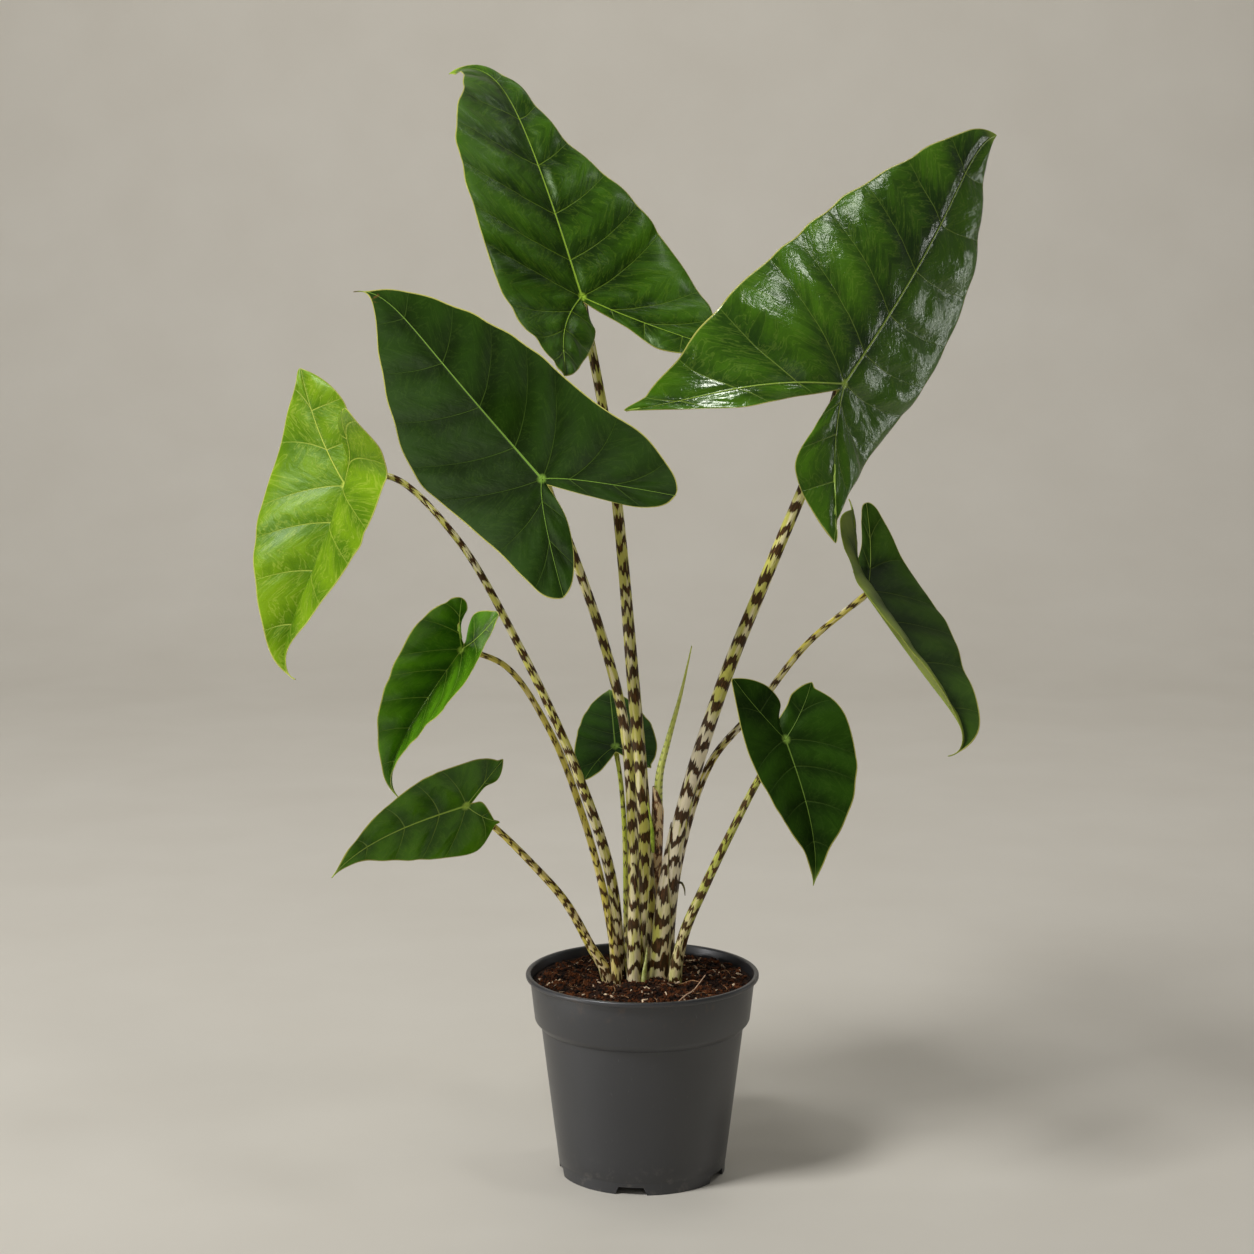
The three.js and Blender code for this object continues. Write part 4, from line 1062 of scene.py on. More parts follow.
# %% Stalk tree
class Tree:
    """A Geometry Nodes tree with named inputs, the last of them a material."""

    def __init__(self, name, **inputs):
        self.group = bpy.data.node_groups.new(name, "GeometryNodeTree")
        sockets = {"Geometry": "Geometry", **inputs, "Material": "Material"}
        self.keys = {label: self.socket(label, kind, "INPUT") for label, kind in sockets.items()}
        self.socket("Geometry", "Geometry", "OUTPUT")
        self.given = self.group.nodes.new("NodeGroupInput").outputs

    def socket(self, label, kind, way):
        """Adds a socket to the tree's outside and gives the identifier that a modifier knows it by."""
        face = self.group.interface
        return face.new_socket(name=label, in_out=way, socket_type=f"NodeSocket{kind}").identifier

    def add(self, kind, sockets=None, output=0, **settings):
        """Adds a node and gives one of its outputs."""
        return add_node(self.group, kind, settings, sockets).outputs[output]

    def close(self, geometry):
        """Gives the result its material and sends it out."""
        dressed = self.add("GeometryNodeSetMaterial",
                           {"Geometry": geometry, "Material": self.given["Material"]})
        self.group.links.new(dressed, self.group.nodes.new("NodeGroupOutput").inputs[0])

    def run(self, piece, **values):
        """Runs the tree on a piece and keeps the result as its mesh."""
        modifier = piece.modifiers.new(self.group.name, "NODES")
        modifier.node_group = self.group
        for label, value in values.items():
            modifier[self.keys[label]] = value
        return apply_modifiers(piece)


def stalk_tree():
    tree = Tree("sweep_round_stalk", Sides="Int")
    curve = tree.add("GeometryNodeMeshToCurve", {"Mesh": tree.given["Geometry"]})
    circle = tree.add("GeometryNodeCurvePrimitiveCircle", {"Resolution": tree.given["Sides"], "Radius": 1.0})
    section = tree.add("GeometryNodeStoreNamedAttribute", {
        "Geometry": circle, "Name": "round", "Value": tree.add("GeometryNodeInputPosition")},
        data_type="FLOAT_VECTOR", domain="POINT")
    thick = tree.add("GeometryNodeInputNamedAttribute", {"Name": "thickness"}, data_type="FLOAT")
    swept = tree.add("GeometryNodeCurveToMesh", {
        "Curve": curve, "Profile Curve": section, "Scale": thick, "Fill Caps": True})
    soft = tree.add("GeometryNodeSetShadeSmooth", {"Geometry": swept})
    tree.close(tree.add("GeometryNodeRealizeInstances", {"Geometry": soft}))
    return tree


STALK_TREE = stalk_tree()


def sweep(name, line, radii, attributes, sides, material):
    """A round piece along a line of points in mm, its radius given at each point."""
    edges = [(i, i + 1) for i in range(len(line) - 1)]
    piece = make_mesh(name, line, [], attributes=attributes, edges=edges)
    thickness = piece.data.attributes.new("thickness", "FLOAT", "POINT").data
    thickness.foreach_set("value", radii * MM)
    return STALK_TREE.run(piece, Sides=sides, Material=material)


print("stalk tree inputs:", STALK_TREE.keys)

# %% [markdown]
# ## Zebra bands
# The bands are why this plant is grown. Each is a ragged dark ring: close up, its edges are short
# streaks that run along the stalk. So the band's phase, which counts bands from the soil upwards, is
# pushed up and down by a noise that is long along the stalk and short round it. Towards the soil the
# pale ground turns cream and the rings break up. The looks differ from stalk to stalk: on some the bands
# are broken, some fade from a height upwards, and some have a creamy stretch.

# %% Stalk material
SOIL_END_MM, CREAM_FROM_MM, CREAM_TO_MM = (5.0, 85.0), (45.0, 75.0), (175.0, 230.0)
BAND_EDGE, HALO_EDGE, BLUR = (0.42, 0.52), (0.46, 0.72), 0.55
LOW_CREAM, PATCH_CREAM, HALO, RING_LIGHT, WING_MARGIN = "f4dcb4", "fbeed2", "8a7a45", "6e4322", "ddd692"


def stalk_material(name, ground, warm, dark, broken=0.0, fading=(0.0, 1.0, 0.0), cream=0.0):
    """Bands on a pale ground. Fading has the heights where it starts and ends, and how far it goes."""
    shader = Shader(name)
    x, y, edge = shader.attribute("round")
    phase, height, seed = shader.attribute("stalk")
    streak = shader.noise(shader.vector(x * 1.35 + seed, y * 1.35, phase * 0.42 + seed), 1.6, 2, 0.6)
    dash = shader.noise(shader.vector(x * 4 + seed, y * 4, phase * 1.3), 1.6, 2, 0.6)
    slow = shader.noise(shader.vector(x * 0.8, y * 0.8 + seed, phase * 0.45), 1.3, 2)
    size = shader.noise(shader.vector(x * 0.5 + seed, y * 0.5, phase * 0.7 + seed), 1.5, 2)
    tint = shader.noise(shader.vector(x * 0.8 + seed, y * 0.8, phase * 0.22), 1.4, 3)
    fibre = shader.noise(shader.vector(x * 7, y * 7, phase * 0.35), 2.4, 3, 0.65)
    low = 1 - shader.step(height, *SOIL_END_MM)
    turned = phase + (streak - 0.5) * (1.15 + low * 0.5) + (slow - 0.5) * 1.3
    saw = abs(turned - round(turned)) * 2
    saw = saw + (dash - 0.5) * BLUR + (size - 0.5) * (1.0 + broken) + low * 0.05
    saw = saw + shader.step(height, *fading[:2]) * fading[2]
    band = 1 - shader.step(saw, *BAND_EDGE)
    pale = shader.mix(shader.step(tint + low * 0.12, 0.46, 0.66), colour(ground), colour(warm))
    pale = shader.mix(low * shader.step(tint, 0.46, 0.62) * 0.7, pale, colour(LOW_CREAM))
    if cream:
        window = shader.step(height, *CREAM_FROM_MM) * (1 - shader.step(height, *CREAM_TO_MM))
        pale = shader.mix(window * shader.step(tint, 0.36, 0.5) * cream, pale, colour(PATCH_CREAM))
    pale = shader.mix((1 - shader.step(saw, *HALO_EDGE)) * 0.3, pale, colour(HALO))
    ring = shader.mix(shader.step(dash, 0.45, 0.75), colour(dark), colour(RING_LIGHT))
    base = shader.mix(band * 0.97, pale, ring)
    base = shader.mix(shader.step(edge, 0.55, 0.95) * 0.6, base, colour(WING_MARGIN))
    return shader.finish(
        Base_Color=base, Roughness=0.36 + (fibre - 0.5) * 0.2, Specular_IOR_Level=0.25,
        Specular_Tint=(1.0, 0.92, 0.7, 1.0), Normal=shader.bump(fibre + dash * 0.3, 0.0004, 0.6))


ZEBRA = stalk_material("zebra_stalk", "d0ca64", "f8ecc0", "321804")
ZEBRA_CREAM = stalk_material("zebra_stalk_cream", "cac660", "f8ecc0", "301603", cream=0.95)
ZEBRA_SOFT = stalk_material("zebra_stalk_soft", "b4b850", "d8d08c", "362004", 0.5)
ZEBRA_FADING = stalk_material("zebra_stalk_fading", "d6c652", "f8ecc0", "341a04", 0.3,
                              (150.0, 330.0, 0.3), 0.9)
ZEBRA_SHORT = stalk_material("zebra_stalk_short", "d2c250", "f0dc98", "3a1e04", 0.2, (45.0, 130.0, 0.22))
ZEBRA_DOTTED = stalk_material("zebra_stalk_dotted", "b6c040", "d2d06a", "34300c", 0.6, (20.0, 60.0, 0.3))
STALK_LOOKS = dict(top=ZEBRA, glossy=ZEBRA_CREAM, dark=ZEBRA, lime=ZEBRA, small_left=ZEBRA_SHORT,
                   low_left=ZEBRA_SHORT, back=ZEBRA_DOTTED, heart=ZEBRA_SOFT, hanging=ZEBRA_FADING)
print("stalk looks:", len(set(STALK_LOOKS.values())))

# %% The nine stalks
BAND_SPACING = dict(top=16.5, glossy=17.0, dark=16.0, lime=12.7, small_left=12.2, low_left=9.8, back=9.0,
                    heart=13.0, hanging=14.0)
STALK_SIDES, STALK_STEP, STALK_TAPER = 28, 2.5, 1.4
FLARE, FLARE_WITHIN, CLOSE, CLOSE_WITHIN = 0.2, 16.0, 0.4, 4.0
DRIFT, LONG_DRIFT_MM, SHORT_DRIFT_MM, SEED_STEP = 0.13, 53, 23, 3.1


def stalk_radii(leaf, reach):
    """The stalk's radius along its length: it thins upwards, flares under the blade and closes."""
    left = reach[-1] - reach
    radii = lerp(*leaf["radii"], 1 - (left / reach[-1]) ** STALK_TAPER)
    flared = radii * (1 + FLARE * smooth(1 - left / FLARE_WITHIN))
    return flared * (1 - CLOSE * smooth(1 - left / CLOSE_WITHIN))


def stalk_fields(name, line, reach):
    """What the bands' material reads: the phase, slightly irregular, the height above the soil and a seed."""
    order = list(LEAVES).index(name)
    drift = np.sin(reach / LONG_DRIFT_MM + order) + 0.7 * np.sin(reach / SHORT_DRIFT_MM + 2 * order)
    phase = reach / BAND_SPACING[name] + DRIFT * drift
    return np.stack([phase, line[:, 2] - SOIL_TOP, np.full_like(reach, SEED_STEP * order)], -1)


for name, leaf in LEAVES.items():
    line, reach = stalk_path(leaf, STALK_STEP)
    fields = {"stalk": stalk_fields(name, line, reach)}
    piece = sweep(f"stalk_{name}", line, stalk_radii(leaf, reach), fields, STALK_SIDES, STALK_LOOKS[name])
    hand_over(piece, "petiole", f"petiole_{name}")

# %% [markdown]
# ## The new leaf
# The youngest leaf is still a tight roll with its own edge showing as a step that winds up it, and it
# stands in the split mouth of a thin papery sheath. Neither has a round section: the roll's section is
# one turn of a spiral, and the sheath's rim is cut slantwise. So both are made ring by ring.

# %% Swept sections
def full_turn(sides):
    return np.linspace(0, 2 * math.pi, sides, endpoint=False)


def carry_frames(line):
    """Two directions across a line at each point, carried along without twisting."""
    tangents = unit(np.gradient(line, axis=0))
    side = unit(np.cross(tangents[0], (0, 1, 0)))
    sides = []
    for tangent in tangents:
        side = unit(side - tangent * (side @ tangent))
        sides.append(side)
    return np.array(sides), np.cross(tangents, sides)


def ringed(name, line, frames, r, angle, fields, material, edge=0.0, shift=0.0):
    """A piece of rings across a line. Radii, angles and edge are one row a ring, in mm and radians."""
    one, two = (direction[:, None, :] for direction in frames)
    angle, edge = np.broadcast_to(angle, r.shape), np.broadcast_to(edge, r.shape)
    points = line[:, None, :] + (r * np.cos(angle))[..., None] * one + (r * np.sin(angle))[..., None] * two
    turns = np.stack([np.cos(angle), np.sin(angle), edge], -1).reshape(-1, 3)
    return make_mesh(name, (points - shift).reshape(-1, 3), tube_faces(*r.shape), material,
                     {"round": turns, "stalk": np.repeat(fields, r.shape[1], axis=0)})


print("a square's corners, in degrees:", np.degrees(full_turn(4)))

# %% The rolled leaf
ROLL_PATH = ((11.3, 12.8, 264), (12.6, 12, 292), (19.4, 11, 320), (27.4, 10, 350), (35.5, 9, 387))
ROLL_RADII, ROLL_EDGE, ROLL_TWIST, ROLL_SIDES, ROLL_STEP = (3.7, 0.4), 0.14, 1.6, 40, 2.0


def roll_material():
    shader = Shader("young_roll")
    x, y, _ = shader.attribute("round")
    along, share, _ = shader.attribute("stalk")
    streak = shader.noise(shader.vector(x * 3, y * 3, along * 2), 1.5, 3)
    base = shader.mix(shader.step(streak, 0.3, 0.7), colour("c0cf3c"), colour("ecee90"))
    dash = shader.step(shader.math("SINE", along * 25 + streak * 5), 0.2, 0.7)
    dash = dash * shader.step(abs(x), 0.3, 0.6) * (1 - share)
    base = shader.mix(dash * 0.8, base, colour("4d5a1c"))
    return shader.finish(Base_Color=base, Roughness=0.4, Normal=shader.bump(streak, 0.0003, 0.5))


def make_roll():
    line, reach = path_points(ROLL_PATH, ROLL_STEP)
    share = reach / reach[-1]
    angle = full_turn(ROLL_SIDES)
    wrap = ((angle + ROLL_TWIST * share[:, None]) / (2 * math.pi)) % 1
    r = lerp(*ROLL_RADII, share)[:, None] * (1 - ROLL_EDGE * wrap)
    return ringed("young_leaf_roll", line, carry_frames(line), r, angle,
                  np.stack([reach / 20, share, share], -1), roll_material())


hand_over(make_roll(), "new_leaf", "new_leaf_roll")

# %% The sheath
SHEATH_PATH = ((8, 12, ROOT_HEIGHT), (8, 12, 150), (9.5, 13.5, 210), (11.8, 12.5, 283))
SHEATH_RADII, SHEATH_WALL, SHEATH_SIDES, SHEATH_STEP = (5.0, 4.5), 0.35, 36, 2.5
SHEATH_SLANT, SLANT_WITHIN, SHEATH_MOUTH = 18.0, 60, 26.0


def sheath_material():
    shader = Shader("papery_sheath")
    x, y, _ = shader.attribute("round")
    along, height, _ = shader.attribute("stalk")
    fibre = shader.noise(shader.vector(x * 6, y * 6, along * 0.5), 2, 3, 0.65)
    blotch = shader.noise(shader.vector(x * 0.8, y * 0.8, along * 0.55), 1.7, 4, 0.65)
    base = shader.mix(shader.step(fibre, 0.3, 0.7), colour("efc07c"), colour("fff0c8"))
    base = shader.mix(shader.step(blotch, 0.48, 0.53) * 0.9, base, colour("7c4016"))
    base = shader.mix(shader.step(blotch, 0.54, 0.6) * 0.85, base, colour("341a08"))
    base = shader.mix((1 - shader.step(height, 40.0, 80.0)) * 0.5, base, colour("a8a24a"))
    return shader.finish(Base_Color=base, Roughness=0.55, Normal=shader.bump(fibre, 0.0005, 0.7))


def make_sheath():
    """Up the outside, over the slanting rim, and down the inside of the mouth as far as it shows."""
    outer, reach = path_points(SHEATH_PATH, SHEATH_STEP)
    turned_in = int(SHEATH_MOUTH / SHEATH_STEP)

    def down_again(values):
        return np.concatenate([values, values[::-1][:turned_in]])

    line, along = down_again(outer), down_again(reach)
    one, two = (down_again(direction) for direction in carry_frames(outer))
    tangents = down_again(unit(np.gradient(outer, axis=0)))
    share = along / reach[-1]
    inside = np.arange(len(line)) >= len(outer)
    radii = lerp(*SHEATH_RADII, 1 - (1 - share) ** STALK_TAPER) - np.where(inside, SHEATH_WALL, 0)
    angle = full_turn(SHEATH_SIDES)
    slant = SHEATH_SLANT * smooth((along - reach[-1] + SLANT_WITHIN) / SLANT_WITHIN)
    drop = slant[:, None] * (0.5 - 0.5 * np.cos(angle)) ** 2
    fields = np.stack([along / 10, line[:, 2] - SOIL_TOP, share], -1)
    return ringed("young_leaf_sheath", line, (one, two), radii[:, None] * np.ones(SHEATH_SIDES), angle,
                  fields, sheath_material(), shift=drop[..., None] * tangents[:, None, :])


hand_over(make_sheath(), "sheath", "new_leaf_sheath")

# %% [markdown]
# ## Sheathing bases
# An aroid's stalk widens into a wing at its foot that wraps the next younger stalk, so the bases make
# one tight clump. Each wing is an open arc that goes more than half round its stalk at the soil and runs
# out to a point higher up. Its thin margin is pale. The same bands cover it, so it reads as part of the
# stalk. A small leaflet, a green shoot, a dry hook and a bare rootlet finish the clump.

# %% Sheath wings
WING_FOOT, WING_STEP, WING_ARC, WING_CLEAR = 130.0, 2.0, 15, 0.45
WING_THICK, WING_THIN, WING_POINT, WING_TAPER = 0.6, 0.15, 9.0, 1.8
WING_SWAY, WING_RIPPLE, BAND_SHIFT = 14, 0.02, 0.45
WINGS = {
    "glossy": (262, 6.4, -165, 104), "dark": (236, 3.0, -84, 112), "top": (256, 3.2, -15, 110),
    "lime": (212, 2.4, -105, 110), "small_left": (196, 1.6, -80, 120), "heart": (176, 1.4, -120, 110),
    "low_left": (178, 1.3, -70, 110), "hanging": (206, 1.8, -120, 120),
}


def make_wing(name, top, slack, facing, width):
    """A wing round a stalk's foot: heights and slack in mm, its middle and half width in degrees."""
    leaf = LEAVES[name]
    line, reach = stalk_path(leaf, WING_STEP)
    keep = (line[:, 2] > WING_FOOT) & (line[:, 2] < top)
    line, reach, radii = line[keep], reach[keep], stalk_radii(leaf, reach)[keep]
    t = (line[:, 2:] - WING_FOOT) / (top - WING_FOOT)
    along = unit(np.gradient(line, axis=0))
    one = unit(np.array([1.0, 0, 0]) - along[:, :1] * along)
    across = np.linspace(-1, 1, WING_ARC)
    swing = np.radians(lerp(width, WING_POINT, t ** WING_TAPER)) * across
    angle = np.radians(facing + WING_SWAY * np.sin(4 * t)) + swing
    loose = slack * (1 - 0.9 * smooth(1.1 * t)) * np.clip(np.cos(swing), 0, None) ** 1.3
    outer = (radii[:, None] + WING_CLEAR + loose) * (1 + WING_RIPPLE * np.sin(3 * angle + 7 * t))
    thick = lerp(WING_THIN, WING_THICK, np.sqrt(1 - across ** 2))
    fields = stalk_fields(name, line, reach) + np.array([BAND_SHIFT, 0, 0])
    return ringed(f"wing_{name}", line, (one, np.cross(along, one)),
                  np.hstack([outer, (outer - thick)[:, ::-1]]), np.hstack([angle, angle[:, ::-1]]),
                  fields, STALK_LOOKS[name], edge=np.abs(np.hstack([across, across[::-1]])) ** 3)


for name, shape in WINGS.items():
    hand_over(make_wing(name, *shape), "petiole")

# %% Shoot, hook and rootlet
GROWTH_STEP, GROWTH_SIDES, GROWTH_TAPER = 1.2, 14, 1.3


def plain_growth(name, first, second, roughness):
    """A fibrous skin between two colours for small growths."""
    shader = Shader(name)
    streak = shader.noise(shader.place(), 320, 3, 0.6)
    base = shader.mix(shader.step(streak, 0.35, 0.65), colour(first), colour(second))
    return shader.finish(Base_Color=base, Roughness=roughness, Normal=shader.bump(streak, 0.0003, 0.6))


def growth(name, slot, path, radii, *skin):
    """A small round growth; its skin is two colours and a roughness."""
    line, reach = path_points(path, GROWTH_STEP)
    thinning = lerp(*radii, (reach / reach[-1]) ** GROWTH_TAPER)
    hand_over(sweep(name, line, thinning, {}, GROWTH_SIDES, plain_growth(name, *skin)), slot)


growth("side_leaflet", "new_leaf", ((7.0, 5, 236), (7.2, 3.4, 250), (5.6, 2.4, 263), (3.6, 2.0, 273)),
       (1.8, 0.3), "8fb01c", "c6d848", 0.4)
growth("green_shoot", "new_leaf", ((1, -16, 134), (1.2, -17.5, 150), (2.6, -18.5, 162), (3.4, -18.6, 171)),
       (2.7, 0.3), "9fa84a", "cdd28a", 0.4)
growth("dry_hook", "sheath", ((25.2, -8, 216), (28, -8.5, 216.5), (30.2, -9, 212.5), (30.8, -9, 207)),
       (1.0, 0.25), "3a3418", "6a6230", 0.6)
growth("rootlet", "soil",
       ((24, -64, 142.5), (30, -55, 145.5), (36, -45, 146.5), (41, -36, 150), (45, -31, 154)),
       (0.55, 0.3), "b98d6c", "e0bd9c", 0.6)

# %% [markdown]
# ## The pot
# A nursery pot is blown or moulded thin: a rolled lip, a straight band, a step, a long tapered wall and
# a foot ring with drainage notches. Its half section is drawn once, as short straight runs with arcs at
# the lip, and is turned round the axis. The notches and drain holes are cut afterwards, as a tool would.

# %% Pot sizes
POT_HEIGHT, RIM_RADIUS, LIP_HEIGHT, LIP_WIDTH, POT_WALL = 148.4, 85.0, 3.8, 3.8, 1.5
BAND = ((81.4, 140.0), (78.6, 114.5))
WALL_TOP, WALL_LOW, HEEL = (73.9, 109.3), (64.9, 36.0), (62.6, 18.0)
FOOT_TOP, FOOT_RADIUS, FOOT_THICK, FOOT_STEP = (61.6, 9.0), 60.8, 2.2, 0.35
FLOOR_UNDER, PAD_RADIUS, PAD_DRAFT = 6.4, 10.0, 2.0
NOTCHES, NOTCH_TOP, NOTCH_BOTTOM, NOTCH_HEIGHT, NOTCH_TURN, NOTCH_INSET = 5, 18.0, 24.0, 5.8, -98.0, 6.0
DRAIN_RADIUS, DRAIN_CIRCLE = 4.0, 36.0
POT_TURNS, HOLE_SIDES, LIP_ROUND, LIP_SEAT, CORNER_POINTS = 160, 32, 1.5, 0.1, 6
FOOT_DRAFT, FOOT_INNER_EDGE, FOOT_OUTER_EDGE, LEDGE_WIDTH, LEDGE_HALF = 0.6, 0.3, 0.4, 0.3, 0.5
SHOULDER, BAND_ROUND = ((0.15, 0.1), (0.85, 0.8)), 0.6


def inner_profile(distance):
    """The pot's inner face from the middle of the floor to the mouth, measured from the outer face."""
    floor = FLOOR_UNDER + distance
    return [(0, distance), (PAD_RADIUS - distance, distance), (PAD_RADIUS + PAD_DRAFT - distance, floor),
            (FOOT_TOP[0] - POT_WALL - distance, floor), (FOOT_TOP[0] - distance, floor + POT_WALL),
            *((r - distance, z) for r, z in (HEEL, WALL_LOW, WALL_TOP, BAND[1], BAND[0]))]


def arc(centre, radius, start, end):
    """Points of a round corner in the half section, angles in degrees."""
    return [(centre[0] + radius * math.cos(math.radians(a)), centre[1] + radius * math.sin(math.radians(a)))
            for a in np.linspace(start, end, CORNER_POINTS)]


def pot_profile():
    """The half section, from the middle of the base out and up the wall, over the lip and down inside."""
    lip_under, lip_top = POT_HEIGHT - LIP_HEIGHT, POT_HEIGHT - LIP_ROUND
    lip_out, lip_in = RIM_RADIUS - LIP_ROUND, RIM_RADIUS - LIP_WIDTH + LIP_ROUND
    foot_in, (foot, foot_top), (band, band_low) = FOOT_RADIUS - FOOT_THICK, FOOT_TOP, BAND[1]
    outer = [(0, 0), (PAD_RADIUS, 0), (PAD_RADIUS + PAD_DRAFT, FLOOR_UNDER),
             (foot_in - FOOT_DRAFT, FLOOR_UNDER), (foot_in, FOOT_INNER_EDGE),
             (foot_in + FOOT_INNER_EDGE, 0), (FOOT_RADIUS - FOOT_OUTER_EDGE, 0),
             (FOOT_RADIUS, FOOT_OUTER_EDGE), (foot - FOOT_STEP, foot_top - LEDGE_HALF),
             (foot - LEDGE_WIDTH, foot_top), (foot, foot_top + LEDGE_HALF), HEEL, WALL_LOW, WALL_TOP,
             *((lerp(WALL_TOP[0], band, s), lerp(WALL_TOP[1], band_low, t)) for s, t in SHOULDER),
             (band, band_low + BAND_ROUND), BAND[0], (BAND[0][0] + LIP_SEAT, lip_under)]
    lip = (arc((lip_out, lip_under + LIP_ROUND), LIP_ROUND, -90, 0)
           + arc((lip_out, lip_top), LIP_ROUND, 0, 90) + arc((lip_in, lip_top), LIP_ROUND, 90, 180))
    return outer + lip + inner_profile(POT_WALL)[::-1][:-1] + [(0, POT_WALL)]


def turn_profile(profile, turns):
    """Points and faces of a section turned round Z; both ends lie on the axis."""
    (_, bottom), *ring, (_, top) = profile
    points = [(r * math.cos(a), r * math.sin(a), z) for r, z in ring for a in full_turn(turns)]
    walls = tube_faces(len(ring), turns, 1)[:-2]
    last, tip = 1 + (len(ring) - 1) * turns, 1 + len(ring) * turns
    faces = [(0, 1 + (j + 1) % turns, 1 + j) for j in range(turns)] + walls
    faces += [(last + j, last + (j + 1) % turns, tip) for j in range(turns)]
    return np.array([(0, 0, bottom), *points, (0, 0, top)]), faces


print("corners in the pot's half section:", len(pot_profile()))

# %% [markdown]
# ## Pot plastic
# Charcoal polypropylene has a soft, even sheen with a very fine pebble, faint rings from the mould, a
# little soil dust near the lip and dust that settles above the foot.

# %% Pot material
UPPER_DUST, LOWER_DUST, SHARP_FROM = (0.118, 0.141), (0.004, 0.03), 32


def pot_material():
    shader = Shader("charcoal_plastic")
    place = shader.place()
    x, y, z = shader.parts(place)
    cloud = shader.noise(place, 18, 4, 0.55)
    pebble = shader.noise(place, 2200, 2, 0.5)
    rings = shader.noise(shader.vector(x * 0.2, y * 0.2, z * 40), 3.0, 3, 0.6)
    base = shader.mix(cloud, colour("28292c"), colour("313236"))
    dust = shader.step(shader.noise(place, 120, 4, 0.65), 0.52, 0.7)
    upper = dust * shader.step(z, *UPPER_DUST)
    lower = dust * (1 - shader.step(z, *LOWER_DUST))
    base = shader.mix(upper * 0.3, base, colour("5d4a3a"))
    base = shader.mix(lower * 0.3, base, colour("77726a"))
    scuff = shader.step(shader.noise(shader.vector(x * 3, y * 3, z), 160, 3, 0.7), 0.66, 0.74)
    base = shader.mix(scuff * 0.12, base, colour("8a8885"))
    rough = 0.42 + (cloud - 0.5) * 0.1 + upper * 0.12
    return shader.finish(Base_Color=base, Roughness=rough, Specular_IOR_Level=0.7, Coat_Weight=0.18,
                         Coat_Roughness=0.2,
                         Normal=shader.bump(pebble * 0.4 + rings * 0.6, 0.00018, 0.5))


def across_foot(degrees):
    """The directions outwards and sideways at an angle round the pot."""
    turn = math.radians(degrees)
    return np.array([math.cos(turn), math.sin(turn), 0]), np.array([-math.sin(turn), math.cos(turn), 0])


def pot_cutters():
    """The drainage notches of the foot ring and the drain holes of the floor, as closed blocks."""
    points, faces, up = [], [], np.array([0, 0, 1])
    notch = ((-NOTCH_BOTTOM / 2, -1.0), (NOTCH_BOTTOM / 2, -1.0), (NOTCH_TOP / 2, NOTCH_HEIGHT),
             (-NOTCH_TOP / 2, NOTCH_HEIGHT))
    hole = [(DRAIN_RADIUS * math.cos(a), DRAIN_RADIUS * math.sin(a)) for a in full_turn(HOLE_SIDES)]
    for i in range(NOTCHES):
        out, side = across_foot(NOTCH_TURN + 360 * i / NOTCHES)
        centre = across_foot(NOTCH_TURN + 360 * (i + 0.5) / NOTCHES)[0] * DRAIN_CIRCLE
        blocks = ([out * depth + side * s + up * z for s, z in notch]
                  for depth in (FOOT_RADIUS - NOTCH_INSET, FOOT_RADIUS + NOTCH_INSET))
        holes = ([centre + np.array([x, y, z]) for x, y in hole]
                 for z in (FLOOR_UNDER - 2 * POT_WALL, FLOOR_UNDER + 2 * POT_WALL))
        for low, high in (blocks, holes):
            faces += tube_faces(2, len(low), len(points))
            points += [*low, *high]
    return points, faces


def make_pot():
    material = pot_material()
    pot = make_mesh("nursery_pot", *turn_profile(pot_profile(), POT_TURNS), material)
    cutter = make_mesh("cutter", *pot_cutters(), material)
    cut = pot.modifiers.new("cut", "BOOLEAN")
    cut.object, cut.operation, cut.solver = cutter, "DIFFERENCE", "EXACT"
    apply_modifiers(pot)
    bpy.data.objects.remove(cutter)
    pot.data.set_sharp_from_angle(angle=math.radians(SHARP_FROM))
    return pot


hand_over(make_pot(), "pot", "pot")

# %% [markdown]
# ## Potting soil
# The bed is the fill itself: it fits the pot's inside and has a lumpy top, highest round the stems. On
# it lie loose crumbs, chips of bark and fibres. The bed is one turned mesh whose top is pushed up and
# down by noise, and the loose bits are scattered by Geometry Nodes.

# %% Soil bed
EDGE_TOP, CROWN_TOP, CROWN_RADIUS, SLOPE_RADIUS = 141.5, 145.0, 30.0, 70.0
SOIL_WAVES = ((1.1, 0.26, 0.1, 0), (0.8, -0.18, 0.31, 2.1), (0.5, 0.52, -0.44, 4))
SOIL_GAP, SOIL_RINGS, SOIL_TURNS = 0.15, 70, 150
LUMP_HEIGHT, LUMPS_PER_MM, LEVEL_BY_WALL = 1.6, 0.16, 5


def soil_top(x, y):
    """The soil's height at a place, before its lumps."""
    radius = math.hypot(x, y)
    height = lerp(CROWN_TOP, EDGE_TOP, float(smooth((radius - CROWN_RADIUS) / (SLOPE_RADIUS - CROWN_RADIUS))))
    return height + sum(h * math.sin(kx * x + ky * y + p) for h, kx, ky, p in SOIL_WAVES)


def soil_material():
    shader = Shader("potting_soil")
    place = shader.place()
    cloud = shader.noise(place, 60, 4, 0.6)
    crumb = shader.noise(place, 420, 5, 0.7)
    base = shader.mix(shader.step(crumb, 0.38, 0.66), colour("120a06"), colour("3a2213"))
    base = shader.mix(shader.step(cloud, 0.45, 0.7) * 0.4, base, colour("2c1a0f"))
    return shader.finish(Base_Color=base, Roughness=0.92, Specular_IOR_Level=0.25,
                         Normal=shader.bump(crumb, 0.0016, 0.9))


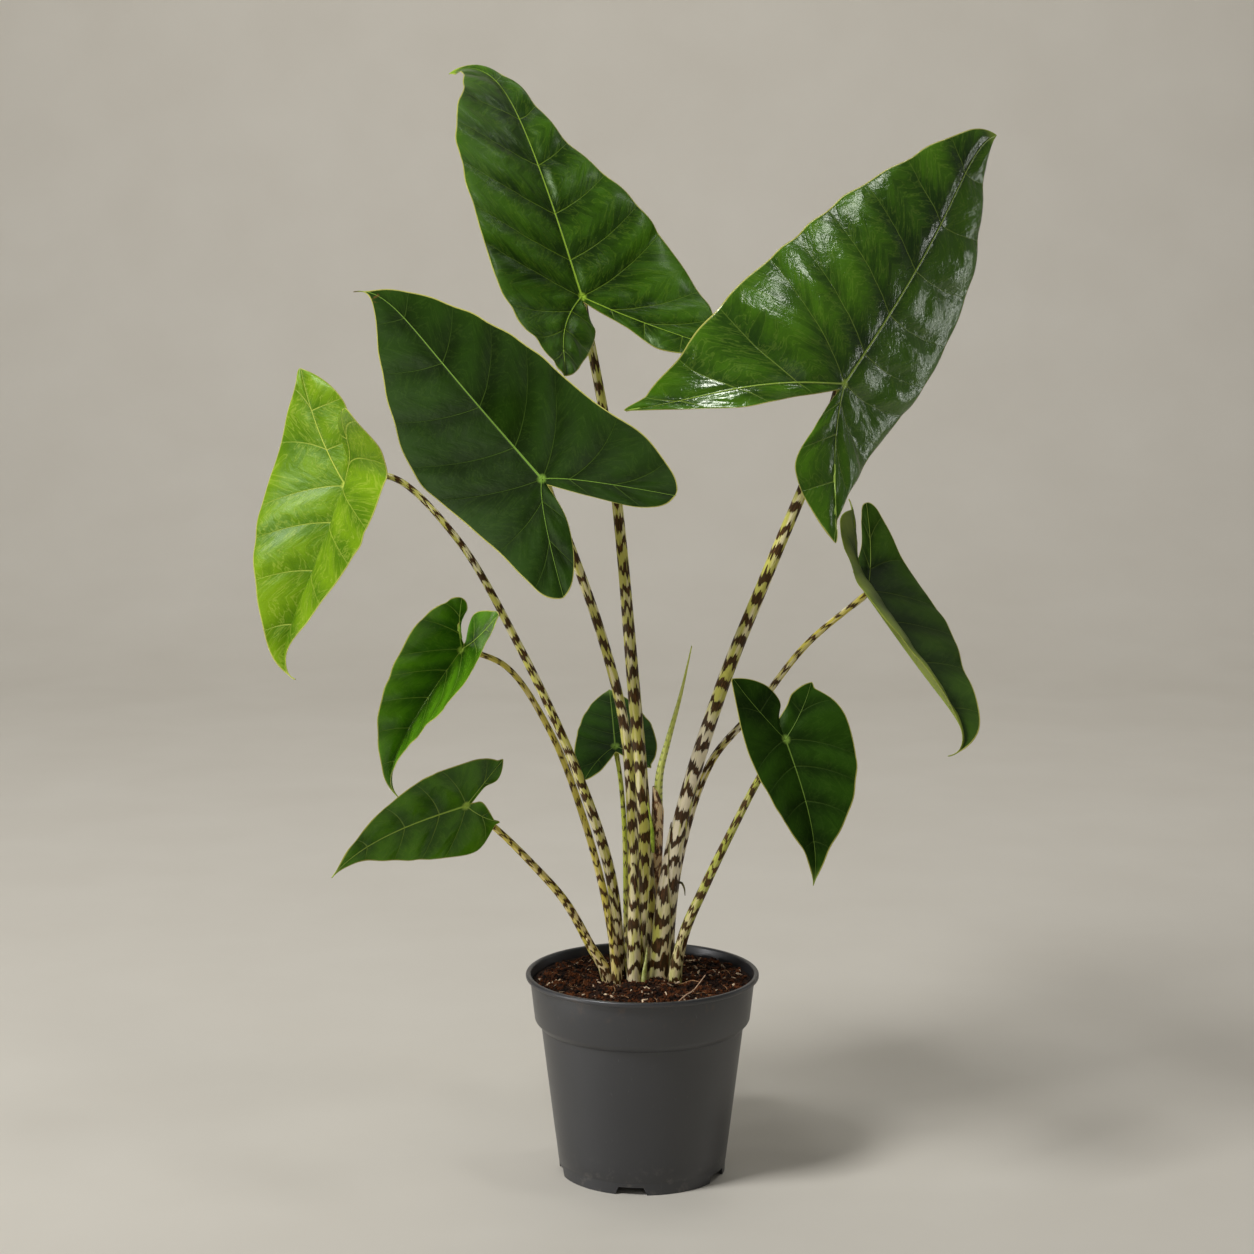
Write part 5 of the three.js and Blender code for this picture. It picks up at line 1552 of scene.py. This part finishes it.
def make_bed():
    inside = inner_profile(POT_WALL + SOIL_GAP)
    mouth = inside[-1][0]
    inside[-1] = (mouth, EDGE_TOP)
    top = [(mouth * (1 - i / SOIL_RINGS), EDGE_TOP) for i in range(1, SOIL_RINGS)]
    points, faces = turn_profile(inside + top + [(0, EDGE_TOP)], SOIL_TURNS)
    for i, (x, y, z) in enumerate(points):
        if z >= EDGE_TOP - 1e-6:
            edge = float(smooth((mouth - math.hypot(x, y)) / LEVEL_BY_WALL))
            lump = LUMP_HEIGHT * noise.fractal(Vector((x, y, 0)) * LUMPS_PER_MM, 1.0, 2.2, 4)
            points[i, 2] = lerp(EDGE_TOP, soil_top(x, y) + lump, edge)
    return make_mesh("soil_bed", points, faces, soil_material())


bed = hand_over(make_bed(), "soil", "soil")

# %% [markdown]
# ## Loose bits on the soil
# One tree serves crumbs, bark and fibres: it scatters points on the bed's top with a fixed seed, puts a
# bit on each, turns and scales it at random, and roughens it. Each kind comes in as a small mesh of a few
# dozen faces.

# %% Scatter tree
FACING_UP, ABOVE = 0.3, 0.12
SQUASH = (0.7, 0.7, 0.6), (1.3, 1.1, 1.1)
CRUMPLE_SCALE, CRUMPLE = 420.0, 0.0025


def scatter_tree():
    tree = Tree("scatter_bits", Bit="Object", Density="Float", Seed="Int", Smallest="Float",
                Largest="Float", Tilt="Float", Reach="Float", Sink="Float")
    add, given = tree.add, tree.given

    def compare(operation, first, second):
        return add("FunctionNodeCompare", {0: first, 1: second}, data_type="FLOAT", operation=operation)

    def both(first, second):
        return add("FunctionNodeBooleanMath", {0: first, 1: second}, operation="AND")

    def vector(operation, sockets, output=0):
        return add("ShaderNodeVectorMath", sockets, output, operation=operation)

    split = add_node(tree.group, "ShaderNodeSeparateXYZ", None, {0: add("GeometryNodeInputPosition")}).outputs
    radius = vector("LENGTH", {0: add("ShaderNodeCombineXYZ", {0: split[0], 1: split[1]})}, "Value")
    up = add("ShaderNodeSeparateXYZ", {0: add("GeometryNodeInputNormal")}, 2)
    on_top = both(compare("LESS_THAN", radius, given["Reach"]), compare("GREATER_THAN", up, FACING_UP))
    dots = add("GeometryNodeDistributePointsOnFaces", {
        "Mesh": given["Geometry"], "Selection": both(on_top, compare("GREATER_THAN", split[2], ABOVE)),
        "Density": given["Density"], "Seed": given["Seed"]}, distribute_method="RANDOM")
    lean = add("ShaderNodeCombineXYZ", {0: given["Tilt"], 1: given["Tilt"], 2: math.pi})
    back = vector("SCALE", {0: lean, "Scale": -1.0})
    turn = add("FunctionNodeRandomValue", {0: back, 1: lean, "Seed": 3}, data_type="FLOAT_VECTOR")
    size = add("FunctionNodeRandomValue", {2: given["Smallest"], 3: given["Largest"], "Seed": 5}, 1,
               data_type="FLOAT")
    shape = add("FunctionNodeRandomValue", {0: SQUASH[0], 1: SQUASH[1], "Seed": 7},
                data_type="FLOAT_VECTOR")
    bit = add("GeometryNodeObjectInfo", {"Object": given["Bit"]}, "Geometry")
    placed = add("GeometryNodeInstanceOnPoints", {
        "Points": dots, "Instance": bit, "Rotation": turn,
        "Scale": vector("SCALE", {0: shape, "Scale": size})})
    whole = add("GeometryNodeRealizeInstances", {"Geometry": placed})
    ripple = add("ShaderNodeTexNoise", {"Scale": CRUMPLE_SCALE, "Detail": 2.0}, "Color")
    centred = vector("SUBTRACT", {0: ripple, 1: (0.5, 0.5, 0.5)})
    pushed = vector("SCALE", {0: centred, "Scale": CRUMPLE})
    down = add("ShaderNodeCombineXYZ", {2: given["Sink"]})
    tree.close(add("GeometryNodeSetPosition",
                   {"Geometry": whole, "Offset": vector("SUBTRACT", {0: pushed, 1: down})}))
    return tree


SCATTER_TREE = scatter_tree()


def scatter(name, bit, smooth_bits=False, **values):
    """A piece of loose bits on the soil bed. Lengths are in millimetres, density per square metre."""
    piece = bpy.data.objects.new(name, bed.data.copy())
    bpy.context.scene.collection.objects.link(piece)
    SCATTER_TREE.run(piece, Bit=bit, **values)
    if smooth_bits:
        piece.data.shade_smooth()
    bpy.data.objects.remove(bit)
    return hand_over(piece, "soil")


print("scatter tree inputs:", ", ".join(SCATTER_TREE.keys))

# %% [markdown]
# ## Crumbs, bark and fibres
# The bits are small on purpose: a squashed ball for a crumb, a split block for a chip of bark, a bent
# three-sided thread for a fibre. Their colours differ from bit to bit by a noise wider than one bit.

# %% Bits
def bit_material(name, dark, light, grain_scale, bump_height):
    shader = Shader(name)
    place = shader.place()
    each = shader.noise(place, 150, 1, 0.5)
    grain = shader.noise(place, grain_scale, 3, 0.65)
    base = shader.mix(shader.step(each * 0.7 + grain * 0.3, 0.36, 0.64), colour(dark), colour(light))
    return shader.finish(Base_Color=base, Roughness=0.9, Specular_IOR_Level=0.25,
                         Normal=shader.bump(grain, bump_height, 0.8))


CRUMB_PROFILE = ((0, -1), (0.62, -0.7), (1.0, 0.0), (0.62, 0.7), (0, 1))
CHIP_OUTLINE = ((-0.5, -0.09), (-0.3, -0.16), (0.2, -0.14), (0.5, -0.05), (0.46, 0.08), (0.1, 0.16),
                (-0.34, 0.13))
CHIP_HALF, FIBRE_RADIUS = 0.1, 0.022


def crumb_bit():
    """A ball of three rings, one millimetre in radius."""
    return make_mesh("crumb", *turn_profile(CRUMB_PROFILE, 6), flat=True)


def chip_bit():
    """A chip about one millimetre long, a third as wide and a fifth as thick, with blunt splintered ends."""
    points = [(x, y, z) for z in (-CHIP_HALF, CHIP_HALF) for x, y in CHIP_OUTLINE]
    return make_mesh("chip", points, tube_faces(2, len(CHIP_OUTLINE)), flat=True)


def fibre_bit():
    """A bent three-sided thread about one millimetre long and a twentieth thick."""
    points = [(x, 0.18 * math.sin(5 * x) + FIBRE_RADIUS * math.cos(a),
               0.08 * math.cos(7 * x) + FIBRE_RADIUS * math.sin(a))
              for x in np.linspace(-0.5, 0.5, 8) for a in full_turn(3)]
    return make_mesh("fibre", points, tube_faces(8, 3), flat=True)


scatter("soil_crumbs", crumb_bit(), True, Density=230000.0, Seed=11, Smallest=0.45, Largest=1.5, Tilt=3.0,
        Reach=0.0762, Sink=-0.0003, Material=bit_material("soil_crumbs", "0a0402", "643617", 700, 0.0008))
scatter("soil_bark", chip_bit(), Density=8000.0, Seed=23, Smallest=1.6, Largest=5.4, Tilt=0.7,
        Reach=0.073, Sink=-0.0009, Material=bit_material("bark_chips", "4a2610", "fae0bc", 900, 0.0006))
scatter("soil_fibres", fibre_bit(), Density=3600.0, Seed=31, Smallest=5.0, Largest=13.0, Tilt=0.35,
        Reach=0.069, Sink=-0.0012, Material=bit_material("coir_fibres", "6b4226", "c79a6e", 1200, 0.0002))

# %% [markdown] ## Sizes The boxes of the solids and of the dressed plant are written to extents.json and printed.
# The dressed plant must stay in the solids' box.

# %% Finish
dressed_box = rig.bounds()
with open("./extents.json", "w") as out:
    json.dump({"cad": [list(corner) for corner in CAD_BOX],
               "visual": [list(corner) for corner in dressed_box]}, out)
print("solids' box in mm:", [[round(c / MM, 1) for c in corner] for corner in CAD_BOX])
print("dressed box in mm:", [[round(c / MM, 1) for c in corner] for corner in dressed_box])
